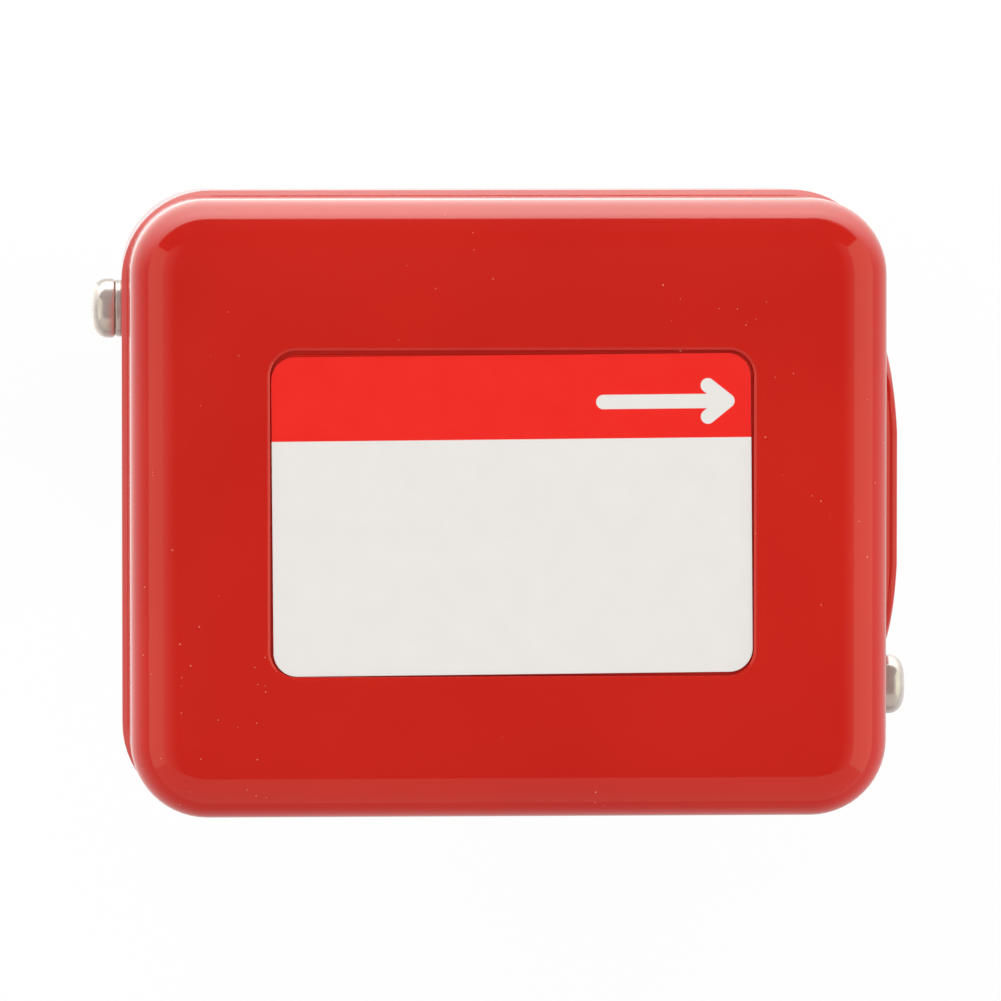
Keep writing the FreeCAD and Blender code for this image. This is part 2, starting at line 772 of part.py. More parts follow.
# ---- snap switch ------------------------------------------------------------------------------
def terminal_places():
    """Top terminals: two on the case, each with its screw."""
    first = case_end + case_length - 5.5
    return [first, first - terminal_spacing]


def switch_case():
    """Moulded case with plunger bush, fixing holes and screw pockets."""
    case = box((case_end, case_end + case_length), (case_y, case_y + case_width),
               (case_bottom, case_top))
    upright = edges_where(case, lambda point: abs(point.y - case_y - case_width / 2) < 0.01)
    case = case.makeChamfer(case_chamfer, upright)
    case = case.fuse(post(bush_radius, case_bottom - bush_height, case_bottom, switch_arm,
                          plunger_y))
    room = plunger_bottom + plunger_length + plunger_room
    case = case.cut(post(plunger_radius + pin_running_clearance, case_bottom - bush_height, room,
                         switch_arm, plunger_y))
    for x in switch_hole_x:
        case = case.cut(bar_y(screw_radius + 0.1, case_y, case_y + case_width, x, switch_hole_z))
    for x in terminal_places():
        case = case.cut(post(screw_radius + tapped_clearance, case_top - terminal_screw_reach,
                             case_top, x, plunger_y))
    shelf = terminal_shelf()
    case = case.fuse(box((case_end - terminal_length, case_end + 1),
                         (plunger_y - terminal_width / 2, plunger_y + terminal_width / 2),
                         (shelf - 6, shelf)))
    case = case.cut(post(screw_radius + tapped_clearance, shelf - terminal_screw_reach, shelf,
                         common_terminal_x(), plunger_y))
    return case.removeSplitter()


def terminal_shelf():
    """Height of the shelf for the common terminal, on the case's upstream end."""
    return case_top - 7


def common_terminal_x():
    """Where the common terminal's screw stands."""
    return case_end - terminal_length / 2


def switch_side_plate():
    """Thin plate that closes the case's open side."""
    low, high = case_y + case_width, case_y + case_width + side_plate_thickness
    plate = box((case_end + 0.6, case_end + case_length - 0.6), (low, high),
                (case_bottom + 0.6, case_top - 0.6))
    for x in switch_hole_x:
        plate = plate.cut(bar_y(screw_radius + 0.1, low, high, x, switch_hole_z))
    return plate


def switch_plunger():
    """Round-nosed button that the lever lifts."""
    pin = post(plunger_radius, plunger_bottom, plunger_bottom + plunger_length, switch_arm,
               plunger_y)
    return pin.makeFillet(0.6, edges_where(pin, lambda point: point.z < plunger_bottom + 0.01))


def switch_screws():
    """Two long screws through the case into the tall cheek."""
    start = case_y + case_width + side_plate_thickness
    reach = start + cheek_inside + sheet
    return group([aimed(pan_screw(reach), (0, 1, 0), (x, start, switch_hole_z))
                  for x in switch_hole_x])


def insulation_sheet():
    """Thin sheet between the case and the cheek."""
    sheet_part = box((case_end - insulation_overhang, case_end + case_length + insulation_overhang),
                     (insulation_y, case_y),
                     (case_bottom - insulation_overhang, case_top + insulation_overhang))
    for x in switch_hole_x:
        sheet_part = sheet_part.cut(bar_y(screw_radius + through_clearance, insulation_y, case_y,
                                          x, switch_hole_z))
    return sheet_part


def terminals():
    """Three brass terminal plates with upturned wire guards."""
    plates = []
    for x, low in [(place, case_top) for place in terminal_places()] + [
            (common_terminal_x(), terminal_shelf())]:
        half = terminal_width / 2 - 0.3
        plate = box((x - half, x + half), (plunger_y - half, plunger_y + half),
                    (low, low + terminal_thickness))
        guard = box((x - half, x + half), (plunger_y - half, plunger_y - half + guard_thickness),
                    (low + terminal_thickness, low + terminal_thickness + guard_height))
        plate = plate.fuse(guard)
        plate = plate.cut(post(screw_radius + through_clearance, low, low + terminal_thickness, x,
                               plunger_y))
        plates.append(plate.removeSplitter())
    return group(plates)


def terminal_screws():
    """A screw for each terminal plate."""
    screw = pan_screw(terminal_screw_reach + terminal_thickness, terminal_head_radius,
                      terminal_head_height)
    screws = [aimed(screw, (0, 0, 1), (x, plunger_y, case_top + terminal_thickness))
              for x in terminal_places()]
    screws.append(aimed(screw, (0, 0, 1), (common_terminal_x(), plunger_y,
                                           terminal_shelf() + terminal_thickness)))
    return group(screws)


# ---- paddles ----------------------------------------------------------------------------------
def paddle_face():
    """The upstream face of the clamp, where the paddles lie."""
    return -clamp_thickness / 2


def paddle_screw_z():
    """Height of the paddle screws."""
    return clamp_top - clamp_height / 2


def paddle_holes(shape, start, end, radius):
    """The shape with the two paddle screws' holes."""
    for side in (-1, 1):
        shape = shape.cut(bar_x(radius, start, end, side * paddle_screw_spacing / 2,
                                paddle_screw_z()))
    return shape


def paddle_clamp():
    """Block on the end of the rod."""
    low = clamp_top - clamp_height
    block = rounded_block(clamp_thickness, clamp_width, 1.5, low, clamp_top)
    block = block.cut(post(rod_radius + tapped_clearance, rod_bottom, clamp_top))
    return paddle_holes(block, -clamp_thickness, clamp_thickness, screw_radius + tapped_clearance)


def paddles():
    """Three blades of spring steel, the shortest next to the clamp and the longest upstream."""
    blades = {}
    x = paddle_face()
    top = clamp_top - 1
    for name, length in paddle_lengths.items():
        width = paddle_widths[name]
        face = Part.Face(rounded_wire(length, width, paddle_corner))
        blade = face.extrude(Vector(0, 0, paddle_thickness))
        blade.rotate(Vector(0, 0, 0), Vector(0, 1, 0), 90)
        blade.translate(Vector(x - paddle_thickness, 0, top - length / 2))
        blades[name] = paddle_holes(blade, x - paddle_thickness, x,
                                    screw_radius + through_clearance)
        x -= paddle_thickness
    return blades, x


def clamp_bar(face):
    """Stiff bar under the paddle screws' heads."""
    low = paddle_screw_z() - clamp_bar_height / 2
    bar = box((face - clamp_bar_thickness, face), (-clamp_width / 2, clamp_width / 2),
              (low, low + clamp_bar_height))
    across = [edge for edge in bar.Edges if abs(edge.tangentAt(edge.FirstParameter).x) > 0.99]
    bar = bar.makeFillet(2.0, across)
    return paddle_holes(bar, face - clamp_bar_thickness, face, screw_radius + through_clearance)


def paddle_screws(face):
    """Two screws through the bar and the blades into the clamp."""
    seat = face - clamp_bar_thickness
    reach = paddle_screw_reach + clamp_bar_thickness
    return group([aimed(pan_screw(reach), (-1, 0, 0),
                        (seat, side * paddle_screw_spacing / 2, paddle_screw_z()))
                  for side in (-1, 1)])


# ---- earth terminal ---------------------------------------------------------------------------
def earth_washer():
    """Cupped washer on the earth boss."""
    low = floor_top + earth_boss_height
    cup = post(cup_washer_radius, low, low + cup_washer_height, earth_x, earth_y)
    cup = cup.cut(post(cup_washer_radius - 0.7, low + 0.5, low + cup_washer_height, earth_x,
                       earth_y))
    return cup.cut(post(screw_radius + through_clearance, low, low + 0.5, earth_x, earth_y))


def earth_screw():
    """Screw that clamps the earth wire under its washer."""
    low = floor_top + earth_boss_height + 0.5
    screw = pan_screw(earth_boss_height, terminal_head_radius)
    return aimed(screw, (0, 0, 1), (earth_x, earth_y, low))


def build():
    """Every piece by its node's name."""
    blades, paddle_back = paddles()
    pieces = {
        "base_housing": base_housing(),
        "cover": cover(),
        "label_plate": label_plate(),
        "cover_gasket": cover_gasket(),
        "cover_lugs": cover_lugs(),
        "cover_screws": cover_screws(),
        "cover_screw_washers": cover_screw_washers(),
        "cover_screw_nuts": cover_screw_nuts(),
        "brass_body": brass_body(),
        "body_gasket": body_gasket(),
        "body_screws": body_screws(),
        "bellows": bellows(),
        "bellows_ring": bellows_ring(),
        "bellows_cap": bellows_cap(),
        "lever_rod": lever_rod(),
        "main_lever": main_lever(),
        "lever_nut": lever_nut(),
        "pivot_pin": pivot_pin(),
        "pivot_clips": pivot_clips(),
        "mechanism_bracket": mechanism_bracket(),
        "range_screw": range_screw(),
        "range_nut": range_nut(),
        "range_spring": range_spring(),
        "switch_case": switch_case(),
        "switch_side_plate": switch_side_plate(),
        "switch_plunger": switch_plunger(),
        "switch_screws": switch_screws(),
        "insulation_sheet": insulation_sheet(),
        "terminals": terminals(),
        "terminal_screws": terminal_screws(),
        "paddle_clamp": paddle_clamp(),
        "clamp_bar": clamp_bar(paddle_back),
        "paddle_screws": paddle_screws(paddle_back),
        "earth_washer": earth_washer(),
        "earth_screw": earth_screw(),
    }
    pieces.update(blades)
    return pieces


os.makedirs("parts", exist_ok=True)
for node, piece in build().items():
    piece.exportStep("parts/" + node + ".step")
    print(node, len(piece.Solids), round(piece.Volume, 1), piece.isValid())
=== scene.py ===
import json
import math

import bmesh
import bpy
from mathutils import Matrix, Vector


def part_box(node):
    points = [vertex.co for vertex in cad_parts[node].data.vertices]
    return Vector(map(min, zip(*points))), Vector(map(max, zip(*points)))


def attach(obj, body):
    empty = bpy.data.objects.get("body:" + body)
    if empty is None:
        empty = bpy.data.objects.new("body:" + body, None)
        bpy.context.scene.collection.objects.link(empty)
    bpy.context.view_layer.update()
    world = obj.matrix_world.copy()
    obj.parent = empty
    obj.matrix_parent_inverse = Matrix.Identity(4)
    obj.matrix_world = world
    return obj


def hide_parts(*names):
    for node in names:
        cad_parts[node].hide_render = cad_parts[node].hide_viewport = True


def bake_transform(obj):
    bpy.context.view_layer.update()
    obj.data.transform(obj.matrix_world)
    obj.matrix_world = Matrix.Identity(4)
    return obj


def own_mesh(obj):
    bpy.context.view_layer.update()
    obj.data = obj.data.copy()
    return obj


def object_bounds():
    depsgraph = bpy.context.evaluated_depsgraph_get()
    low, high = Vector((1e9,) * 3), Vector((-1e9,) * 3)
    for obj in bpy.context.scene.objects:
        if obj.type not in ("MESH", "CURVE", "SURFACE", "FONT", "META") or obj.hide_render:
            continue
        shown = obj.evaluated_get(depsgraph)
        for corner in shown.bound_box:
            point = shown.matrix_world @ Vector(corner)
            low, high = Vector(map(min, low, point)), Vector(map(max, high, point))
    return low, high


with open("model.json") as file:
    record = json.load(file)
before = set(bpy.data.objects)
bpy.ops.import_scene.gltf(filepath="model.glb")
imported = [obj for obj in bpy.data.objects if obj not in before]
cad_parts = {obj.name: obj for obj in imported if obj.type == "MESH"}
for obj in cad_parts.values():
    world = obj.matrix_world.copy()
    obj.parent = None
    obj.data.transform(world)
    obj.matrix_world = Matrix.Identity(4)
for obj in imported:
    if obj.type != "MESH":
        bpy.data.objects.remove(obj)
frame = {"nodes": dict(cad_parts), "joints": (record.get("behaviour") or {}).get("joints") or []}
cadLow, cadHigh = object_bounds()
print("frame loaded:", len(frame["nodes"]), "nodes")

# shapes are worked out in millimetres and scaled once, when a mesh is made
mm = 0.001
cornerSteps = 14  # in each quarter of a rounded outline
turnSteps = 72  # round a turned piece
fineSteps = 96
headSteps = 48
shankSteps = 28
drillSteps = 40
nearAxis = 0.01  # radius of the small ring that closes a thread's end
smoothAngle = 32  # sharper edges stay sharp, in degrees
easedAngle = 28


def span(node):  # lowest and highest corner of a CAD node, in millimetres
    low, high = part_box(node)
    return low / mm, high / mm


def middleOf(node):
    return [(first + last) / 2 for first, last in zip(*span(node))]


def tone(red, green, blue):  # a screen colour as the shader wants it
    def linear(value):
        share = value / 255
        return share / 12.92 if share < 0.04045 else ((share + 0.055) / 1.055) ** 2.4
    return (linear(red), linear(green), linear(blue), 1.0)


def shown(name, mesh):
    made = bpy.data.objects.new(name, mesh)
    bpy.context.scene.collection.objects.link(made)
    return made


def plainMesh(name, points, faces=()):
    mesh = bpy.data.meshes.new(name)
    mesh.from_pydata(points, [], faces)
    return mesh


def loft(name, rings, looped=False):
    build = bmesh.new()
    rows = [[build.verts.new(point) for point in ring] for ring in rings]
    pairs = list(zip(rows, rows[1:])) + ([(rows[-1], rows[0])] if looped else [])
    for lower, upper in pairs:
        for index in range(len(lower)):
            after = (index + 1) % len(lower)
            build.faces.new((lower[index], lower[after], upper[after], upper[index]))
    if not looped:
        build.faces.new(rows[0][::-1])
        build.faces.new(rows[-1])
    bmesh.ops.remove_doubles(build, verts=build.verts, dist=1e-4)
    bmesh.ops.dissolve_degenerate(build, edges=build.edges, dist=1e-5)
    bmesh.ops.recalc_face_normals(build, faces=build.faces)
    mesh = bpy.data.meshes.new(name)
    build.to_mesh(mesh)
    build.free()
    return shown(name, mesh)


def roundedRing(halfX, halfY, corner, height, shift=(0, 0)):
    points = []
    for quarter in range(4):
        middleX = (halfX - corner) * (1 if quarter in (0, 3) else -1) + shift[0]
        middleY = (halfY - corner) * (1 if quarter in (0, 1) else -1) + shift[1]
        for step in range(cornerSteps + 1):
            angle = math.radians(90 * (quarter + step / cornerSteps))
            points.append(Vector((middleX + corner * math.cos(angle),
                                  middleY + corner * math.sin(angle), height)))
    return points


def insetRing(halfX, halfY, corner, inward, height, shift=(0, 0), least=0.02):
    return roundedRing(halfX - inward, halfY - inward, max(corner - inward, least), height, shift)


def circle(radius, height, steps=turnSteps):
    return [Vector((radius * math.cos(2 * math.pi * step / steps),
                    radius * math.sin(2 * math.pi * step / steps), height))
            for step in range(steps)]


def oblong(halfX, halfY, height):
    return [Vector((x * halfX, y * halfY, height)) for x, y in ((1, 1), (-1, 1), (-1, -1), (1, -1))]


def softened(profile, radius, steps=4):  # a polyline whose inner corners are rounded
    points = [profile[0]]
    for before, corner, after in zip(profile, profile[1:], profile[2:]):
        before, corner, after = Vector(before), Vector(corner), Vector(after)
        cut = min(radius, (before - corner).length * 0.45, (after - corner).length * 0.45)
        start = corner + (before - corner).normalized() * cut
        end = corner + (after - corner).normalized() * cut
        for step in range(steps + 1):
            share = step / steps
            points.append(tuple(start * (1 - share) ** 2 + corner * 2 * share * (1 - share)
                                + end * share ** 2))
    return points + [profile[-1]]


def turned(name, profile, steps=turnSteps, looped=False):  # (radius, height) points round Z
    return loft(name, [circle(radius, height, steps) for radius, height in profile], looped)


def rod(name, radius, low, high, edge=0, steps=turnSteps):
    profile = [(0, low), (radius, low), (radius, high), (0, high)]
    return turned(name, softened(profile, edge) if edge else profile, steps)


def slab(name, halfX, halfY, corner, low, high, edge, shift=(0, 0)):
    rows = softened([(edge * 2, low), (0, low), (0, high), (edge * 2, high)], edge)
    return loft(name, [insetRing(halfX, halfY, corner, inward, height, shift)
                       for inward, height in rows])


def bored(name, outer, inner, low, high, edge, steps=turnSteps):  # a ring or washer
    profile = [(inner, (low + high) / 2), (inner, high), (outer, high), (outer, low),
               (inner, low), (inner, (low + high) / 2)]
    return turned(name, softened(profile, edge)[:-1], steps, looped=True)


def bake(piece):  # the piece with its modifiers applied
    settled = piece.evaluated_get(bpy.context.evaluated_depsgraph_get())
    mesh = bpy.data.meshes.new_from_object(settled)
    piece.modifiers.clear()
    piece.data = mesh


def carve(piece, tool, operation="DIFFERENCE"):
    change = piece.modifiers.new("carve", "BOOLEAN")
    change.operation = operation
    change.solver = "EXACT"
    change.object = tool
    bake(piece)
    bpy.data.objects.remove(tool)


def ease(piece, width, angle):  # rounds the piece's sharp edges
    change = piece.modifiers.new("ease", "BEVEL")
    change.width = width
    change.segments = 2
    change.limit_method = "ANGLE"
    change.angle_limit = math.radians(angle)
    change.use_clamp_overlap = True
    bake(piece)


def join(piece, other):  # separate shells in one piece
    build = bmesh.new()
    for part in (piece, other):
        build.from_mesh(part.data)
    mesh = bpy.data.meshes.new(piece.name)
    build.to_mesh(mesh)
    build.free()
    piece.data = mesh
    bpy.data.objects.remove(other)


def aim(piece, direction=(0, 0, 1), place=(0, 0, 0)):  # turns +Z to a direction, then moves
    turn = Vector((0, 0, 1)).rotation_difference(Vector(direction)).to_matrix().to_4x4()
    piece.data.transform(Matrix.Translation(Vector(place)) @ turn)
    return piece


def drill(piece, radius, start, direction, length, steps=drillSteps):
    carve(piece, aim(rod("drill", radius, 0, length, steps=steps), direction, start))


def shade(piece, angle=smoothAngle, weighted=True):
    piece.data.shade_smooth()
    piece.data.set_sharp_from_angle(angle=math.radians(angle))
    if weighted:
        even = piece.modifiers.new("even", "WEIGHTED_NORMAL")
        even.keep_sharp = True
        bake(piece)


def finish(piece, look, body, slot, *nodes, angle=smoothAngle, weighted=True):
    piece.data.transform(Matrix.Scale(mm, 4))
    shade(piece, angle, weighted)
    piece.data.materials.clear()
    piece.data.materials.append(finishes[look])
    if body:
        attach(piece, body)
    if nodes:
        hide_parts(*nodes)
    return piece


def eased(node, width):  # a CAD node's shape with its edges eased
    piece = frame["nodes"][node].copy()
    piece.data = frame["nodes"][node].data.copy()
    piece.parent = None
    for key in list(piece.keys()):
        del piece[key]
    piece.name = node + "Eased"
    bpy.context.scene.collection.objects.link(piece)
    piece.data.transform(Matrix.Scale(1 / mm, 4))
    build = bmesh.new()
    build.from_mesh(piece.data)
    bmesh.ops.remove_doubles(build, verts=build.verts, dist=1e-3)
    bmesh.ops.dissolve_limit(build, angle_limit=math.radians(1), verts=build.verts,
                             edges=build.edges)
    build.to_mesh(piece.data)
    build.free()
    if width:
        ease(piece, width, easedAngle)
    return piece


def link(*ends):  # an output and the input it feeds, one pair after another
    for start, end in zip(ends[::2], ends[1::2]):
        start.id_data.links.new(start, end)


def addNode(tree, kind, where=None, **settings):
    node = tree.nodes.new("ShaderNode" + kind)
    for name, value in settings.items():
        node.inputs[name].default_value = value
    if where is not None:
        link(where, node.inputs["Vector"])
    return node


def startMaterial(name):
    material = bpy.data.materials.new(name)
    material.use_nodes = True
    where = addNode(material.node_tree, "TexCoord").outputs["Object"]
    return material, material.node_tree.nodes["Principled BSDF"], where


def stretched(where, scale=(1, 1, 1), turn=(0, 0, 0), centre=(0, 0, 0)):
    node = addNode(where.id_data, "Mapping", where, Location=centre, Rotation=turn, Scale=scale)
    node.vector_type = "TEXTURE" if centre != (0, 0, 0) or turn != (0, 0, 0) else "POINT"
    return node.outputs["Vector"]


def noise(where, size, detail=3.0, roughness=0.5):  # size of its cells in metres
    return addNode(where.id_data, "TexNoise", where, Scale=1 / size, Detail=detail,
                   Roughness=roughness).outputs["Fac"]


def ramp(source, *stops):  # stops of (place, colour or grey)
    node = addNode(source.id_data, "ValToRGB")
    bar = node.color_ramp.elements
    while len(bar) < len(stops):
        bar.new(0.5)
    for element, (place, value) in zip(bar, stops):
        element.position = place
        element.color = value if isinstance(value, tuple) else (value, value, value, 1)
    link(source, node.inputs["Fac"])
    return node.outputs["Color"]


def calculate(operation, first, second=0.0, third=None, clamp=False):
    values = (first, second, third)
    tree = next(value.id_data for value in values if not isinstance(value, (int, float)))
    node = addNode(tree, "Math")
    node.operation = operation
    node.use_clamp = clamp
    for socket, value in zip(node.inputs, values):
        if isinstance(value, (int, float)):
            socket.default_value = value
        elif value is not None:
            link(value, socket)
    return node.outputs["Value"]


def blendColours(share, first, second):
    node = addNode(share.id_data, "Mix")
    node.data_type = "RGBA"
    link(share, node.inputs["Factor"])
    sockets = [socket for socket in node.inputs if socket.type == "RGBA"]
    for socket, value in zip(sockets, (first, second)):
        if isinstance(value, tuple):
            socket.default_value = value
        else:
            link(value, socket)
    return next(socket for socket in node.outputs if socket.type == "RGBA")


def bump(shader, height, depth, strength=1.0):
    node = addNode(shader.id_data, "Bump", Distance=depth, Strength=strength)
    link(height, node.inputs["Height"], node.outputs["Normal"], shader.inputs["Normal"])


def axesOf(where):
    parts = addNode(where.id_data, "SeparateXYZ", where)
    return parts.outputs["X"], parts.outputs["Y"]


enamel = {"colour": tone(206, 29, 15), "deep": tone(200, 25, 12), "dust": tone(236, 150, 130),
          "cloud": 0.035, "roughness": 0.08, "ior": 1.6, "peel": 0.0016, "peelDepth": 0.0000035,
          "specks": 800, "speckSize": (0.04, 0.06), "patch": 0.03, "fewer": 0.42, "show": 0.75}


def redEnamel():  # glossy, with a fine orange peel and a few specks of dust
    material, shader, where = startMaterial("redEnamel")
    cloud = ramp(noise(where, enamel["cloud"], 2), (0.35, enamel["deep"]), (0.65, enamel["colour"]))
    specks = addNode(material.node_tree, "TexVoronoi", where, Scale=enamel["specks"],
                     Randomness=1.0)
    parts = addNode(material.node_tree, "SeparateColor")
    link(specks.outputs["Color"], parts.inputs["Color"])
    patchy = calculate("MULTIPLY", parts.outputs["Red"], noise(where, enamel["patch"], 1))
    few = calculate("GREATER_THAN", patchy, enamel["fewer"])
    least, more = enamel["speckSize"]
    size = calculate("MULTIPLY_ADD", parts.outputs["Green"], more, least)
    near = calculate("LESS_THAN", specks.outputs["Distance"], size)
    dusty = calculate("MULTIPLY", calculate("MULTIPLY", few, near), enamel["show"])
    link(blendColours(dusty, cloud, enamel["dust"]), shader.inputs["Base Color"])
    shader.inputs["Roughness"].default_value = enamel["roughness"]
    shader.inputs["IOR"].default_value = enamel["ior"]
    bump(shader, noise(where, enamel["peel"], 2), enamel["peelDepth"])
    return material


labelPrint = {"white": tone(239, 235, 230), "dullWhite": tone(236, 232, 228),
              "red": tone(245, 30, 20), "dullRed": tone(247, 36, 25),
              "turn": math.radians(0.45), "header": 10.0,
              "stroke": 0.95, "tail": (12.2, 14.85), "tip": (28.7, 14.85), "barb": (26.1, 2.08),
              "inkEdge": 0.04, "strokeEdge": 0.05, "fibres": 0.004, "ripple": 0.006,
              "rippleDepth": 0.00002, "rippleShare": 0.4, "roughness": 0.2}


def strokeShare(x, y, start, end):  # 1 within the stroke's radius of a line, 0 outside
    along = (end[0] - start[0], end[1] - start[1])
    length = along[0] ** 2 + along[1] ** 2
    fromX = calculate("SUBTRACT", x, start[0] * mm)
    fromY = calculate("SUBTRACT", y, start[1] * mm)
    share = calculate("ADD", calculate("MULTIPLY", fromX, along[0] / length / mm),
                      calculate("MULTIPLY", fromY, along[1] / length / mm), clamp=True)
    offX = calculate("MULTIPLY_ADD", share, -along[0] * mm, fromX)
    offY = calculate("MULTIPLY_ADD", share, -along[1] * mm, fromY)
    far = calculate("SQRT", calculate("ADD", calculate("MULTIPLY", offX, offX),
                                      calculate("MULTIPLY", offY, offY)))
    edge = labelPrint["strokeEdge"] * mm
    inside = calculate("SUBTRACT", labelPrint["stroke"] * mm + edge, far)
    return calculate("DIVIDE", inside, 2 * edge, clamp=True)


def printedLabel():  # red header with a plain flow arrow, white below
    low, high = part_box("label_plate")
    middle = (low + high) / 2
    material, shader, where = startMaterial("printedLabel")
    x, y = axesOf(stretched(where, turn=(0, 0, labelPrint["turn"]), centre=(middle.x, middle.y, 0)))
    edge = labelPrint["inkEdge"] * mm
    header = calculate("DIVIDE", calculate("SUBTRACT", y, labelPrint["header"] * mm - edge),
                       2 * edge, clamp=True)
    barbX, barbY = labelPrint["barb"]
    tipX, tipY = labelPrint["tip"]
    arrow = strokeShare(x, y, labelPrint["tail"], labelPrint["tip"])
    for side in (-1, 1):
        barb = strokeShare(x, y, (barbX, tipY + side * barbY), (tipX, tipY))
        arrow = calculate("MAXIMUM", arrow, barb)
    inked = calculate("MULTIPLY", header, calculate("SUBTRACT", 1.0, arrow))
    fibres = noise(where, labelPrint["fibres"], 4)
    white = ramp(fibres, (0.3, labelPrint["white"]), (0.8, labelPrint["dullWhite"]))
    red = ramp(fibres, (0.3, labelPrint["red"]), (0.8, labelPrint["dullRed"]))
    link(blendColours(inked, white, red), shader.inputs["Base Color"])
    shader.inputs["Roughness"].default_value = labelPrint["roughness"]
    bump(shader, noise(where, labelPrint["ripple"], 2), labelPrint["rippleDepth"],
         labelPrint["rippleShare"])
    return material


metalGrain = {"cloud": 0.012, "lineShare": 0.72, "smoothest": 0.75, "roughest": 1.3, "bump": 0.6}
mouldGrain = {"cloud": 0.01, "smoothest": 0.85, "roughest": 1.15, "depth": 0.00002, "bump": 0.5}


def brushedMetal(name, light, dark, roughness, grain=(1, 1, 12), cell=0.0016, depth=0.000012,
                 metallic=1.0):
    material, shader, where = startMaterial(name)
    share = metalGrain["lineShare"]
    lines = noise(stretched(where, grain), cell, 4, 0.6)
    both = calculate("MULTIPLY_ADD", noise(where, metalGrain["cloud"], 3), 1 - share,
                     calculate("MULTIPLY", lines, share))
    link(ramp(both, (0.35, dark), (0.65, light)), shader.inputs["Base Color"],
         ramp(both, (0.3, roughness * metalGrain["smoothest"]),
              (0.7, roughness * metalGrain["roughest"])), shader.inputs["Roughness"])
    shader.inputs["Metallic"].default_value = metallic
    bump(shader, lines, depth, metalGrain["bump"])
    return material


def moulded(name, colour, pale, roughness, cell=0.0006):
    material, shader, where = startMaterial(name)
    grain = noise(where, cell, 2)
    link(ramp(noise(where, mouldGrain["cloud"], 3), (0.3, colour), (0.75, pale)),
         shader.inputs["Base Color"],
         ramp(grain, (0.3, roughness * mouldGrain["smoothest"]),
              (0.7, roughness * mouldGrain["roughest"])), shader.inputs["Roughness"])
    bump(shader, grain, mouldGrain["depth"], mouldGrain["bump"])
    return material


finishes = {
    "enamel": redEnamel(),
    "label": printedLabel(),
    "brass": brushedMetal("turnedBrass", tone(222, 190, 120), tone(198, 160, 92), 0.32, (1, 1, 9)),
    "bronze": brushedMetal("formedBronze", tone(214, 168, 112), tone(178, 126, 78), 0.24),
    "zinc": brushedMetal("zincPlate", tone(208, 210, 206), tone(178, 180, 178), 0.34, (1, 1, 1),
                         0.003),
    "bright": brushedMetal("brightScrew", tone(236, 230, 224), tone(214, 206, 198), 0.2,
                           (1, 1, 1), 0.002, 0.000006, 0.6),
    "stainless": brushedMetal("rolledStainless", tone(204, 203, 200), tone(180, 179, 176), 0.27,
                              (1, 14, 1)),
    "spring": brushedMetal("drawnSpring", tone(176, 178, 182), tone(146, 148, 152), 0.28,
                           (1, 1, 1), 0.001),
    "black": moulded("blackMoulding", tone(34, 31, 30), tone(46, 42, 40), 0.42),
    "cream": moulded("buttonPlastic", tone(222, 214, 190), tone(230, 223, 203), 0.35),
    "fibre": moulded("fibreSheet", tone(150, 116, 70), tone(172, 138, 90), 0.62, 0.0004),
    "rubber": moulded("gasketRubber", tone(30, 30, 31), tone(40, 40, 41), 0.6),
    "gasket": moulded("gasketFibre", tone(58, 60, 62), tone(72, 74, 76), 0.75, 0.0004),
}
print("finishes made:", len(finishes))

coverPress = {"corner": 10.2, "edge": 8.0, "wall": 1.4, "rim": 0.35, "rimCut": 0.3, "edgeSteps": 20,
              "crown": 60.0, "crownAngle": 8.0, "crownSteps": 8, "least": 1.8,
              "recess": (65.0, 43.7), "recessCorner": 3.4, "depth": 0.6, "lip": 0.42,
              "lipDrop": 0.26, "lipRound": 0.12, "groove": 0.3, "gaps": (0.24, 0.6, 0.26),
              "undercut": 0.3, "backing": 0.2, "backSwell": 0.6, "backFall": 0.3}


